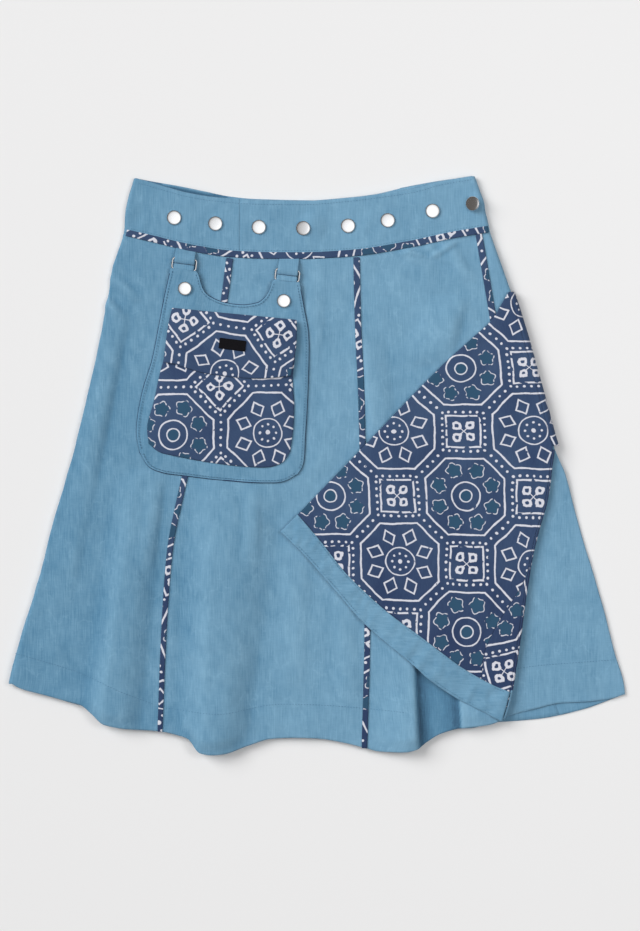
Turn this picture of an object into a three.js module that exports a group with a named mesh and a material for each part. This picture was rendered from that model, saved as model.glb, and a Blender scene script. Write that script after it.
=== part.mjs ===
// A two-sided canvas wrap skirt with a detachable hip pouch, fastened and laid flat on its back.
// Millimetres, +X to the wearer's left as it lies, +Y to the waist, +Z up from the surface it lies on.
// The origin is under the middle of its box. Tables give places as x and y in that frame.
import * as THREE from "three";

// Walls of the cloth and the gaps that keep the layers apart
const CLOTH = 1.2;
const BAND = 1.5;
const TRIM = 1;
const GAP = 0.3;
const SEAM_GAP = 0.3;
const END_GAP = 0.8;
const TURN_GAP = 0.6;
const TRIM_GAP = 0.4;
const PITCH = BAND + GAP;

// Middle of the finished box in the frame of the tables
const BOX_MIDDLE = { x: 0.1, y: -0.25 };

// Fineness of the sheets
const ROWS = 16;
const ARC_STEPS = 4;

// Driving widths of trims, straps and metal
const WAIST_TRIM_WIDTH = 6;
const SEAM_TRIM_WIDTH = 6;
const STRAP_WIDTH = 21;
const CAP_DIAMETER = 14.8;
const POUCH_CAP_DIAMETER = 14;
const CAP_HEIGHT = 2.6;
const CAP_SIDES = 18;
const RING = { width: 25, height: 12, wire: 2, corner: 1.8 };
const LABEL = { x: -84.3, y: 120, width: 26, height: 10, thickness: 1 };
const POUCH_TILT = THREE.MathUtils.degToRad(-7);

// Colours and finishes of the real materials
const FINISH = {
  canvas: { color: "#709db6", roughness: 0.85, metalness: 0 },
  print: { color: "#3a4873", roughness: 0.85, metalness: 0 },
  nickel: { color: "#c9ccd0", roughness: 0.28, metalness: 1 },
  label: { color: "#1c1c20", roughness: 0.7, metalness: 0 },
};

// Edges that run across the skirt, as x and y
const WAIST = [
  [-193.5, 233], [-163, 226], [-143, 221], [-120, 216.2], [-86.5, 211.3], [-50, 209.7], [-17, 209.5],
  [38, 212.3], [91, 220.5], [136, 230], [172, 236],
];
const BAND_TOP = [
  [-181, 287], [-153, 279], [-127, 272], [-100, 268], [-60, 265], [-17, 264.5],
  [34, 268], [59, 271], [98, 277], [123, 284], [158, 290],
];
const BACK_BAND_TOP = [
  [-179, 288], [-155, 283.3], [-137, 280], [-113, 275], [-87, 270], [-62, 267.5],
  [3, 266], [59, 272], [84, 277.6], [123, 285], [158, 290],
];
const FRONT_HEM = [
  [-309, -220], [-297, -227], [-273, -233], [-249, -239], [-237, -242], [-225, -251], [-213, -261],
  [-189, -265], [-157, -266.5], [-141, -270], [-129, -274], [-117, -288], [-105, -290], [-93, -289],
  [-69, -281], [-45, -274], [-21, -273], [3, -274], [27, -278], [47.5, -283], [63, -287], [87, -288],
  [99, -286], [111, -278], [123, -271], [142, -266], [171, -263], [189, -257.5],
];
const BACK_HEM = [
  [-309, -220], [-237, -241], [-157, -257], [-77, -266], [3, -268], [83, -266], [163, -259],
  [221, -254.5], [267, -245], [293, -236], [309, -230],
];
const INNER_HEM = [
  [-215, -238], [-120, -257], [0, -266], [83, -265], [151, -264], [192, -251.5], [221, -244],
  [244, -239], [267, -238], [293, -235], [309, -230],
];

// Edges that run down the skirt, as y and x
const LEFT_FOLD = [
  [288, -183], [281, -185], [266, -189.4], [251, -192.2], [233, -193.8], [197, -205], [173, -209],
  [125, -217], [77, -228], [29, -239], [-19, -253], [-67, -267], [-115, -279], [-163, -294],
  [-211, -307], [-220, -309],
];
const RIGHT_SPINE = [
  [289, 154.5], [272, 160.5], [257, 164], [247, 167], [236, 169.5], [212, 177], [185, 187],
  [161, 195.5], [137, 203], [113, 210], [89, 216.5], [65, 223], [41, 229.5], [19, 235.5],
  [4, 241.5], [-7, 246.5], [-43, 256.5], [-79, 266.5], [-115, 277.5], [-151, 287.5],
  [-187, 296.5], [-223, 307], [-230, 307.5],
];
const SEAM_1 = [
  [207, -87.3], [163, -93.2], [75, -113], [-12.6, -132.5], [-90, -147.6], [-180, -153.7], [-266, -157],
];
const SEAM_2 = [[207, 39.6], [143, 41], [71, 44.3], [21, 45.5], [-161.5, 50.3], [-282, 47.5]];
const SEAM_3 = [[233, 161.5], [195, 168], [147, 176], [22, 196], [-104, 211]];
const INNER_SEAM = [[231, 135], [-264, 151]];
const INNER_END = [[222, -150], [-238, -215]];
const BACK_SEAM_A = [[228, -174], [-240, -247]];
const BACK_SEAM_B = [[210, -47], [-268, -2]];
const BACK_SEAM_C = [[218, 80], [-250, 243]];
const FLAP_FOLD = [
  [19, 235.5], [-35, 228], [-70, 218], [-104, 211], [-157.5, 203], [-180.5, 199.8],
  [-225, 193], [-249, 187], [-256, 184],
];
const SEAM_3_MIRRORED = [
  [-104, 211], [-118, 206], [-145, 189], [-170, 175], [-190, 167], [-207, 165], [-244, 161],
];

// Corner of the turned-over flap: its free edge and its hem, as x and y
const FLAP_FREE_EDGE = [[-36, -67], [40, 11.5], [123, 97], [157, 128], [174.7, 144.5], [192, 173]];
const FLAP_HEM = [
  [-36, -67], [-9, -94], [18, -125], [48, -159], [97.5, -201], [110.6, -213], [139.7, -233], [161, -244],
];
const FLAP_HEM_END = [[161, -244], [181, -254.5], [184, -256]];
const FACING_OUTER = [
  [-36, -67], [-9, -94], [18, -125], [48, -159], [97.5, -201], [110.6, -213], [139.7, -233],
  [161, -244], [181, -254.5], [184, -256],
];
const FACING_INNER = [
  [-19, -50], [4, -77], [29.5, -109], [69, -146], [104, -172], [129, -191], [147, -204],
  [176, -220], [191.5, -227],
];

// The wrap end lies under everything at the back right, and part of it turns print side out
const WRAP_END_X = 83;
const WRAP_CORNER = [WRAP_END_X, 217];
const FOLD_MEETING = [235.5, 19];
const TURNED_TIP = [114, 180];
const FLAP_TOP = [192, 173];
const BEYOND_SIDE = 320;
const UNDER_WRAP_END = [
  [WRAP_END_X, 300], WRAP_CORNER, FOLD_MEETING, [BEYOND_SIDE, FOLD_MEETING[1]], [BEYOND_SIDE, 300],
];
const UNDER_TURNED = [
  FLAP_TOP, TURNED_TIP, FOLD_MEETING, [BEYOND_SIDE, FOLD_MEETING[1]], [BEYOND_SIDE, FLAP_TOP[1]],
];
const RISE_RUN = 75;
const WAIST_RUN = 40;

// Flutes of the flared front: a crest runs from its start to the hem and grows on the way.
const FLUTES = [
  { startX: -189, startY: -80, endX: -213, endY: -262, left: 24, right: 34, height: 8 },
  { startX: -102, startY: -20, endX: -110, endY: -289, left: 34, right: 42, height: 13 },
  { startX: 66, startY: -140, endX: 84, endY: -288, left: 46, right: 30, height: 10 },
  { startX: 140, startY: -215, endX: 152, endY: -266, left: 16, right: 34, height: 4 },
];
const LOFT = { start: 120, end: -250, height: 3 };

// How far the flap lies over the front, and how it humps over the flute below it
const FLAP_LIFT = 3.6;
const FLAP_HUMPS = [
  { x: 92, y: -222, reach: 75, height: 5 },
  { x: 60, y: 20, reach: 90, height: 2 },
];

// Pouch pieces, as x and y, from left to right or top to bottom
const POUCH_TOP = [
  [-146, 196.6], [-120.5, 193.5], [-117.6, 188], [-115.7, 180.6], [-112, 173], [-105, 167.6],
  [-91.6, 162.5], [-74, 160.3], [-59.4, 162.5], [-52, 168], [-47.4, 176], [-44.5, 183], [-41.5, 185.5],
  [-17.5, 182.5],
];
const POUCH_LEFT = [
  [-146, 196.6], [-152.5, 168.3], [-159, 135], [-165, 105], [-174, 76], [-179.7, 46.5], [-180.4, 29],
  [-177, 12],
];
const POUCH_BOTTOM = [
  [-177, 12], [-168, -2], [-155, -7.7], [-128.3, -11.4], [-99, -15], [-55, -18], [-33, -16.5], [-19, -9],
];
const POUCH_RIGHT = [[-17.5, 182.5], [-13, 157], [-8.7, 132], [-8.7, 88], [-11.7, 29], [-14, 0], [-19, -9]];
const POCKET_LEFT = [[-144.5, 155], [-152, 110], [-157, 91], [-163, 63], [-169.4, 39], [-168, 21]];
const POCKET_BOTTOM = [
  [-168, 21], [-158, 13], [-143, 9], [-105, 2], [-70, -2], [-46.2, -2], [-34, 3], [-27, 13],
];
const POCKET_RIGHT = [[-21, 143], [-22, 110], [-24.4, 85], [-23, 60], [-24, 35], [-27, 13]];
const POCKET_FLAP_LEFT = [[-144.5, 157], [-148, 142], [-151, 120], [-153.3, 102.3]];
const POCKET_FLAP_BOTTOM = [
  [-153.3, 102.3], [-143, 101], [-128.3, 96], [-111, 91.3], [-84.3, 87.6], [-55, 86.2], [-26.3, 89],
];
const POCKET_FLAP_RIGHT = [[-20.5, 145], [-20.5, 130], [-21.2, 117], [-26.3, 89]];
const POCKET_CROWN = 3.4;
const POUCH_OVER_FRONT = 2.4;
const TAB_OVER_FRONT = 4.7;
const TAB_TOP = 196;
const RIGHT_TAB_DROP = 11;
const TAB_RUN = 36;
const SNAPS = [
  [-143, 247.5], [-101.7, 241.6], [-58.2, 238.1], [-13.6, 236.9], [31.1, 239.4], [70.8, 244.7],
  [115.5, 254.1], [156.6, 261.2],
];
const POUCH_SNAPS = { left: [-132.1, 176.4], right: [-33.2, 164.1] };
const RINGS = { left: [-132.8, 200.8], right: [-29.7, 189.6] };
const BAND_SEAM_X = -77;

// Smooth step from 0 to 1
const ease = (t) => THREE.MathUtils.smoothstep(t, 0, 1);

// The second column of a table as a smooth function of the first, with no overshoot
function graph(table) {
  const rows = [...table].sort((a, b) => a[0] - b[0]);
  const last = rows.length - 1;
  const slope = (i) => (rows[i + 1][1] - rows[i][1]) / (rows[i + 1][0] - rows[i][0]);
  const tangents = rows.map((row, i) => {
    if (i === 0) return slope(0);
    if (i === last) return slope(last - 1);
    const before = slope(i - 1);
    const after = slope(i);
    return before * after > 0 ? (2 * before * after) / (before + after) : 0;
  });
  return (at) => {
    let i = 0;
    while (i < last - 1 && at > rows[i + 1][0]) i += 1;
    const span = rows[i + 1][0] - rows[i][0];
    const t = (at - rows[i][0]) / span;
    if (t < 0) return rows[0][1] + tangents[0] * (at - rows[0][0]);
    if (t > 1) return rows[last][1] + tangents[last] * (at - rows[last][0]);
    const a = 2 * t ** 3 - 3 * t ** 2 + 1;
    const b = t ** 3 - 2 * t ** 2 + t;
    const c = 3 * t ** 2 - 2 * t ** 3;
    const d = t ** 3 - t ** 2;
    return a * rows[i][1] + b * span * tangents[i] + c * rows[i + 1][1] + d * span * tangents[i + 1];
  };
}

// Sides of a sheet, each a function of 0 to 1: across a graph of x, down a graph of y, through points
const across = (height, from, to) => (t) => {
  const x = THREE.MathUtils.lerp(from, to, t);
  return new THREE.Vector2(x, height(x));
};
const down = (place, from, to) => (t) => {
  const y = THREE.MathUtils.lerp(from, to, t);
  return new THREE.Vector2(place(y), y);
};
const through = (points) => {
  const path = new THREE.CatmullRomCurve3(
    points.map(([x, y]) => new THREE.Vector3(x, y, 0)), false, "centripetal",
  );
  return (t) => {
    const at = path.getPointAt(t);
    return new THREE.Vector2(at.x, at.y);
  };
};

// Rows of points between four sides, at a height given by place, with half a seam gap left all round
function sheet(sides, columns, rows, height) {
  const corners = [sides.top(0), sides.top(1), sides.bottom(0), sides.bottom(1)];
  const blend = (u, v, axis) =>
    (1 - v) * sides.top(u)[axis] + v * sides.bottom(u)[axis] + (1 - u) * sides.left(v)[axis] +
    u * sides.right(v)[axis] - (1 - u) * (1 - v) * corners[0][axis] - u * (1 - v) * corners[1][axis] -
    (1 - u) * v * corners[2][axis] - u * v * corners[3][axis];
  const place = (u, v) => new THREE.Vector2(blend(u, v, "x"), blend(u, v, "y"));
  return Array.from({ length: rows + 1 }, (_, i) =>
    Array.from({ length: columns + 1 }, (__, j) => {
      const u = j / columns;
      const v = i / rows;
      const at = place(u, v);
      const alongRow = place(0.5, v).sub(at);
      const alongColumn = place(u, 0.5).sub(at);
      if (j === 0 || j === columns) at.add(alongRow.setLength(SEAM_GAP / 2));
      if (i === 0 || i === rows) at.add(alongColumn.setLength(END_GAP / 2));
      return new THREE.Vector3(at.x, at.y, height(at.x, at.y));
    }),
  );
}

// Points of a half turn that carries the end of one row of points round to the start of the next
function turn(from, to, outward) {
  const centre = from.clone().add(to).multiplyScalar(0.5);
  const radius = Math.abs(from.z - to.z) / 2;
  const side = Math.sign(from.z - to.z);
  return Array.from({ length: ARC_STEPS - 1 }, (_, k) => {
    const angle = (Math.PI * (k + 1)) / ARC_STEPS;
    const reach = radius * Math.sin(angle) * outward;
    return new THREE.Vector3(
      centre.x + reach, centre.y, centre.z + side * radius * Math.cos(angle),
    );
  });
}

// Two stacks of rows as one sheet that turns over between them
function wrapped(upper, lower, outward) {
  return upper.map((row, i) => {
    const from = row[row.length - 1];
    return [...row, ...turn(from, lower[i][0], outward), ...lower[i]];
  });
}

// Closed wall of a sheet: its rows of points moved half the thickness to each side
function wall(rows, thickness) {
  const height = rows.length;
  const width = rows[0].length;
  const clamp = (value, most) => Math.min(Math.max(value, 0), most - 1);
  const at = (i, j) => rows[clamp(i, height)][clamp(j, width)];
  const vertices = [];
  for (const side of [0.5, -0.5]) {
    for (let i = 0; i < height; i += 1) {
      for (let j = 0; j < width; j += 1) {
        const along = at(i, j + 1).clone().sub(at(i, j - 1));
        const down = at(i + 1, j).clone().sub(at(i - 1, j));
        const normal = along.cross(down);
        if (normal.length() < 1e-6) normal.set(0, 0, -1);
        normal.setLength(side * thickness);
        vertices.push(...at(i, j).clone().add(normal).toArray());
      }
    }
  }
  const index = [];
  const back = height * width;
  const face = (a, b, c, d) => index.push(a, b, c, a, c, d);
  for (let i = 0; i < height - 1; i += 1) {
    for (let j = 0; j < width - 1; j += 1) {
      const a = i * width + j;
      const b = a + 1;
      const c = b + width;
      const d = a + width;
      face(a, b, c, d);
      face(back + d, back + c, back + b, back + a);
    }
  }
  for (let j = 0; j < width - 1; j += 1) {
    const foot = (height - 1) * width + j;
    face(j + 1, j, back + j, back + j + 1);
    face(foot, foot + 1, back + foot + 1, back + foot);
  }
  for (let i = 0; i < height - 1; i += 1) {
    const left = i * width;
    const right = left + width - 1;
    face(left, left + width, back + left + width, back + left);
    face(right + width, right, back + right, back + right + width);
  }
  return facingOut(vertices, index);
}

// Geometry whose faces are turned outwards, whichever way its rows ran
function facingOut(vertices, index) {
  const corner = (k) => new THREE.Vector3().fromArray(vertices, 3 * index[k]);
  let volume = 0;
  for (let k = 0; k < index.length; k += 3) {
    volume += corner(k).dot(corner(k + 1).cross(corner(k + 2))) / 6;
  }
  const geometry = new THREE.BufferGeometry();
  geometry.setAttribute("position", new THREE.Float32BufferAttribute(vertices, 3));
  geometry.setIndex(volume < 0 ? index.reverse() : index);
  geometry.computeVertexNormals();
  return geometry;
}

// Distance from a place to a region, and 0 inside it
function beyond(region, x, y) {
  let inside = false;
  let nearest = Infinity;
  region.forEach(([ax, ay], i) => {
    const [bx, by] = region[(i + 1) % region.length];
    if (ay > y !== by > y && x < ((bx - ax) * (y - ay)) / (by - ay) + ax) inside = !inside;
    const length = (bx - ax) ** 2 + (by - ay) ** 2;
    const t = THREE.MathUtils.clamp(((x - ax) * (bx - ax) + (y - ay) * (by - ay)) / length, 0, 1);
    nearest = Math.min(nearest, Math.hypot(x - ax - t * (bx - ax), y - ay - t * (by - ay)));
  });
  return inside ? 0 : nearest;
}

const waist = graph(WAIST);

// Heights of the middle of each layer
const overWrapEnd = (x, y) => PITCH * ease(1 - beyond(UNDER_WRAP_END, x, y) / RISE_RUN);
const overTurned = (x, y) =>
  PITCH * ease(1 - beyond(UNDER_TURNED, x, y) / RISE_RUN) * ease((waist(x) - y) / WAIST_RUN);
const rise = (x, y) => overTurned(x, y) + overWrapEnd(x, y);
const loft = (y) => LOFT.height * ease((LOFT.start - y) / (LOFT.start - LOFT.end));
function flutes(x, y) {
  let height = 0;
  for (const flute of FLUTES) {
    const run = THREE.MathUtils.clamp((flute.startY - y) / (flute.startY - flute.endY), 0, 1);
    const crest = THREE.MathUtils.lerp(flute.startX, flute.endX, run);
    const reach = (x < crest ? flute.left : flute.right) * (0.5 + run / 2);
    const away = Math.abs(x - crest) / reach;
    if (away < 1) height += flute.height * run ** 1.5 * Math.cos((Math.PI * away) / 2) ** 2;
  }
  return height;
}
const humps = (x, y) =>
  FLAP_HUMPS.reduce((sum, h) => sum + h.height * ease(1 - Math.hypot(x - h.x, y - h.y) / h.reach), 0);
const turnedAt = () => CLOTH / 2;
const endBackAt = (x, y) => CLOTH / 2 + overTurned(x, y);
const backAt = (x, y) => CLOTH / 2 + rise(x, y);
const innerAt = (x, y) => PITCH + backAt(x, y);
const frontAt = (x, y) => 2 * PITCH + backAt(x, y) + loft(y) + flutes(x, y);
const flapAt = (x, y) => 2 * PITCH + backAt(x, y) + loft(y) + FLAP_LIFT + humps(x, y);

const frontHem = graph(FRONT_HEM);
const backHem = graph(BACK_HEM);
const innerHem = graph(INNER_HEM);
const seam1 = graph(SEAM_1);
const seam2 = graph(SEAM_2);
const seam3 = graph(SEAM_3);
const innerSeam = graph(INNER_SEAM);
const innerEnd = graph(INNER_END);
const backSeamA = graph(BACK_SEAM_A);
const backSeamB = graph(BACK_SEAM_B);
const backSeamC = graph(BACK_SEAM_C);
const rightSpine = graph(RIGHT_SPINE);
const flapFold = graph(FLAP_FOLD);
const seam3Mirrored = graph(SEAM_3_MIRRORED);
const leftFold = graph(LEFT_FOLD);
const leftSpine = (y) => leftFold(y) + (2 * PITCH + loft(y)) / 2 + CLOTH / 2;

// Places where edges meet
const LEFT_WAIST_Y = 232;
const LEFT_HEM_Y = -219;
const RIGHT_WAIST_Y = 235;
const RIGHT_HEM_Y = -230;
const FLAP_HEM_Y = -256;
const JUNCTION_Y = -104;
const JUNCTION_GAP = 8;

const skirt = new THREE.Group();
skirt.position.set(-BOX_MIDDLE.x, -BOX_MIDDLE.y, 0);

function add(name, geometry, finish, parent = skirt) {
  const mesh = new THREE.Mesh(geometry, new THREE.MeshStandardMaterial(FINISH[finish]));
  mesh.name = name;
  parent.add(mesh);
  return mesh;
}

// A sheet between two edges that run down the skirt, from an upper edge to a hem
function gore(from, to, columns, top, hem, height) {
  const sides = {
    top: across(top, from(0).x, to(0).x),
    bottom: across(hem, from(1).x, to(1).x),
    left: from,
    right: to,
  };
  return sheet(sides, columns, ROWS, height);
}

// Front gores
const seam1Side = down(seam1, waist(-87.3), frontHem(-157));
const seam2Side = down(seam2, waist(39.6), frontHem(47.5));
const leftSide = down(leftSpine, LEFT_WAIST_Y, LEFT_HEM_Y);
const leftBackSide = down(backSeamA, waist(-174), backHem(-247));
const goreLeft = wrapped(
  gore(seam1Side, leftSide, 11, waist, frontHem, frontAt),
  gore(leftSide, leftBackSide, 4, waist, backHem, backAt),
  -1,
);
add("gore_left", wall(goreLeft, CLOTH), "canvas");
const goreCentre = gore(seam1Side, seam2Side, 14, waist, frontHem, frontAt);
add("gore_centre", wall(goreCentre, CLOTH), "canvas");

// The right gore ends at its seam above the junction and at the flap's fold below it
const junctionShare = (233 - JUNCTION_Y) / (233 - FLAP_HEM_Y);
const rightGoreSide = (t) => {
  const y = THREE.MathUtils.lerp(233, FLAP_HEM_Y, t);
  return new THREE.Vector2(t < junctionShare ? seam3(y) : flapFold(y), y);
};
const goreRight = gore(seam2Side, rightGoreSide, 11, waist, frontHem, frontAt);
add("gore_right", wall(goreRight, CLOTH), "canvas");

// End gore: a strip on the front, round the right side, and the wrap end at the back
const endSide = down(rightSpine, RIGHT_WAIST_Y, FOLD_MEETING[1] + 6);
const endFront = sheet(
  {
    top: across(waist, seam3(233), rightSpine(RIGHT_WAIST_Y)),
    bottom: down(flapFold, JUNCTION_Y + JUNCTION_GAP, FOLD_MEETING[1] + 5),
    left: down((y) => seam3(y) + TURN_GAP, 233, JUNCTION_Y + JUNCTION_GAP),
    right: endSide,
  },
  5, 12, frontAt,
);
const endBack = sheet(
  {
    top: across(waist, rightSpine(RIGHT_WAIST_Y), WRAP_END_X),
    bottom: through([[233, 22], [229, 25]]),
    left: endSide,
    right: through([WRAP_CORNER, [229, 27]]),
  },
  4, 12, endBackAt,
);
add("gore_end", wall(wrapped(endFront, endBack, 1), CLOTH), "canvas");

// Back gores, the gore that turns round the right side inside, and the hidden inner front
const backASide = down(backSeamA, waist(-174), backHem(-247));
const backBSide = down(backSeamB, waist(-47), backHem(-2));
const backCSide = down(backSeamC, waist(80), backHem(243));
const rightSide = down(rightSpine, RIGHT_WAIST_Y, RIGHT_HEM_Y);
const innerSide = down(innerSeam, waist(135), innerHem(151));
const innerEndSide = down(innerEnd, waist(-150), innerHem(-215));
add("gore_back_left", wall(gore(backASide, backBSide, 6, waist, backHem, backAt), CLOTH), "canvas");
add("gore_back_right", wall(gore(backBSide, backCSide, 8, waist, backHem, backAt), CLOTH), "canvas");
const goreSide = wrapped(
  gore(innerSide, rightSide, 5, waist, innerHem, innerAt),
  gore(rightSide, backCSide, 4, waist, backHem, backAt),
  1,
);
add("gore_side", wall(goreSide, CLOTH), "canvas");
add("gore_inner", wall(gore(innerEndSide, innerSide, 12, waist, innerHem, innerAt), CLOTH), "canvas");

// The corner turned over to the front, print side up
const flapSide = (t) => {
  const y = THREE.MathUtils.lerp(FLAP_TOP[1], JUNCTION_Y, t);
  return new THREE.Vector2(y > FOLD_MEETING[1] ? rightSpine(y) : flapFold(y), y);
};
const mirroredSide = down(seam3Mirrored, JUNCTION_Y, -244);
const flapRows = sheet(
  {
    top: through(FLAP_FREE_EDGE),
    bottom: (t) => mirroredSide(1 - t),
    left: through(FLAP_HEM),
    right: flapSide,
  },
  16, 15, flapAt,
);
add("flap_end_gore", wall(flapRows, CLOTH), "print");
const flapFoldSide = down(flapFold, JUNCTION_Y, FLAP_HEM_Y);
const flapCorner = sheet(
  {
    top: across(() => JUNCTION_Y, 209, 211),
    bottom: through(FLAP_HEM_END),
    left: mirroredSide,
    right: flapFoldSide,
  },
  3, 12, flapAt,
);
add("flap_right_gore", wall(flapCorner, CLOTH), "print");

// Half turn of the flap round the right side, print side out, and its end at the back
const outwards = (rows, by) => rows.map((row) => row.map((at) => at.clone().setX(at.x + by)));
const turnSide = down(rightSpine, FLAP_TOP[1], FOLD_MEETING[1]);
const turnEnd = sheet(
  {
    top: through([FLAP_TOP, TURNED_TIP]),
    bottom: through([[234.5, 20], [229, 24]]),
    left: turnSide,
    right: through([TURNED_TIP, [229, 25]]),
  },
  4, 12, turnedAt,
);
const turnStart = turnEnd.map(([at]) => [new THREE.Vector3(at.x, at.y, flapAt(at.x, at.y))]);
add("flap_side_turn", wall(outwards(wrapped(turnStart, turnEnd, 1), TURN_GAP), CLOTH), "print");

// Rolled fold that joins the flap to the front below it
const rollSide = down(flapFold, FOLD_MEETING[1] - 4, FLAP_HEM_Y + 2);
const rollRows = Array.from({ length: ROWS + 1 }, (_, i) => {
  const { x, y } = rollSide(i / ROWS);
  const upper = new THREE.Vector3(x + TURN_GAP, y, flapAt(x, y));
  const lower = new THREE.Vector3(x + TURN_GAP, y, frontAt(x, y));
  return [upper, ...turn(upper, lower, 1), lower];
});
add("flap_fold_roll", wall(rollRows, CLOTH), "print");

// Canvas facing sewn to the print side along the flap's hem
const facingAt = (x, y) => flapAt(x, y) + CLOTH / 2 + TRIM_GAP + TRIM / 2;
const facing = sheet(
  {
    top: through([FACING_OUTER[0], FACING_INNER[0]]),
    bottom: through([FACING_OUTER[9], FACING_INNER[8]]),
    left: through(FACING_OUTER),
    right: through(FACING_INNER),
  },
  2, 22, facingAt,
);
add("flap_hem_facing", wall(facing, TRIM), "canvas");

// Printed trims that lie over the seams of the front
function trim(name, side, width, rows, height) {
  const strip = Array.from({ length: rows + 1 }, (_, i) => {
    const at = side(i / rows);
    const ahead = side(Math.min(i / rows + 0.01, 1)).sub(side(Math.max(i / rows - 0.01, 0)));
    const across = new THREE.Vector2(-ahead.y, ahead.x).setLength(width / 2);
    return [-1, 0, 1].map((k) => {
      const x = at.x + k * across.x;
      const y = at.y + k * across.y;
      return new THREE.Vector3(x, y, height(x, y));
    });
  });
  add(name, wall(strip, TRIM), "print");
}
const seamTrimAt = (x, y) => frontAt(x, y) + CLOTH / 2 + TRIM_GAP + TRIM / 2;
const belowWaist = (side, drop) => (t) => side(drop + (1 - drop) * t);
trim("seam_trim_left", belowWaist(seam1Side, 0.012), SEAM_TRIM_WIDTH, ROWS, seamTrimAt);
trim("seam_trim_centre", belowWaist(seam2Side, 0.012), SEAM_TRIM_WIDTH, ROWS, seamTrimAt);
trim("seam_trim_right", belowWaist(down(seam3, 233, 60), 0.04), SEAM_TRIM_WIDTH, 10, seamTrimAt);
const bandFrontAt = (x, y) => 2 * PITCH + BAND / 2 + overWrapEnd(x, y);
const waistTrimAt = (x, y) => bandFrontAt(x, y) + BAND / 2 + GAP + TRIM / 2;
trim("waist_trim", across(waist, -190.5, 169.5), WAIST_TRIM_WIDTH, 26, waistTrimAt);

// Waistband: one piece from the wrap end at the back round the right side to its seam in front,
// and one from there round the left side, across the back and round again inside
const bandTop = graph(BAND_TOP);
const backBandTop = graph(BACK_BAND_TOP);
const BAND_ROWS = 3;
const bandBackAt = (x, y) => BAND / 2 + overWrapEnd(x, y);
const bandInnerAt = (x, y) => PITCH + bandBackAt(x, y);
const bandEndAt = () => BAND / 2;
const leftBandSpine = (y) => leftFold(y) + PITCH + BAND / 2;
function band(from, to, columns, top, height) {
  const sides = {
    top: across(top, from(0).x, to(0).x),
    bottom: across(waist, from(1).x, to(1).x),
    left: from,
    right: to,
  };
  return sheet(sides, columns, BAND_ROWS, height);
}
const upright = (top, x) => (t) => new THREE.Vector2(x, THREE.MathUtils.lerp(top(x), waist(x), t));
const rightBandSide = down(rightSpine, 289, RIGHT_WAIST_Y);
const leftBandSide = down(leftBandSpine, 287, LEFT_WAIST_Y);
const bandRight = wrapped(
  band(upright(bandTop, BAND_SEAM_X), rightBandSide, 12, bandTop, bandFrontAt),
  band(rightBandSide, upright(backBandTop, WRAP_END_X), 5, backBandTop, bandEndAt),
  1,
);
add("waistband_right", wall(bandRight, BAND), "canvas");
const bandLeftFront = band(upright(bandTop, BAND_SEAM_X), leftBandSide, 6, bandTop, bandFrontAt);
const bandBack = band(leftBandSide, rightBandSide, 16, backBandTop, bandBackAt);
const bandInner = band(rightBandSide, upright(bandTop, -150), 14, bandTop, bandInnerAt);
const bandMain = wrapped(wrapped(bandLeftFront, bandBack, -1), bandInner, 1);
add("waistband_main", wall(bandMain, BAND), "canvas");

// Domed snap cap, standing on a flat foot
function capGeometry(diameter) {
  const radius = diameter / 2;
  const profile = [
    [0, 0], [radius, 0], [radius, 1], [radius - 1, 1.9], [0, CAP_HEIGHT],
  ];
  return new THREE.LatheGeometry(profile.map(([r, z]) => new THREE.Vector2(r, z)), CAP_SIDES)
    .rotateX(Math.PI / 2);
}

// A piece seated on a layer, tilted as the layer slopes below it
function seat(mesh, [x, y], height, clearance) {
  const step = 7;
  const slopeX = (height(x + step, y) - height(x - step, y)) / (2 * step);
  const slopeY = (height(x, y + step) - height(x, y - step)) / (2 * step);
  const normal = new THREE.Vector3(-slopeX, -slopeY, 1).normalize();
  mesh.quaternion.setFromUnitVectors(new THREE.Vector3(0, 0, 1), normal);
  mesh.position.set(x, y, height(x, y)).addScaledVector(normal, clearance);
}
SNAPS.forEach((place, i) => {
  const cap = add(`snap_${i + 1}`, capGeometry(CAP_DIAMETER), "nickel");
  seat(cap, place, bandFrontAt, BAND / 2 + GAP);
});

// Pouch: backing with two tabs, pocket, pocket flap and bare label
const pouchTop = graph(POUCH_TOP);
const frontFlatAt = (x, y) => 2 * PITCH + backAt(x, y) + loft(y) + CLOTH / 2;
const POUCH_MIDDLE_X = -80;
const tabTopAt = (x) => (x < POUCH_MIDDLE_X ? TAB_TOP : TAB_TOP - RIGHT_TAB_DROP);
const tabRun = (y, top) => ease((y - top + TAB_RUN) / TAB_RUN);
const backingAt = (x, y) =>
  frontFlatAt(x, y) + THREE.MathUtils.lerp(POUCH_OVER_FRONT, TAB_OVER_FRONT, tabRun(y, tabTopAt(x)));
const backing = sheet(
  {
    top: across(pouchTop, -146, -17.5),
    bottom: through(POUCH_BOTTOM),
    left: through(POUCH_LEFT),
    right: through(POUCH_RIGHT),
  },
  22, 10, backingAt,
);
add("pouch_backing", wall(backing, CLOTH), "canvas");
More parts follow.
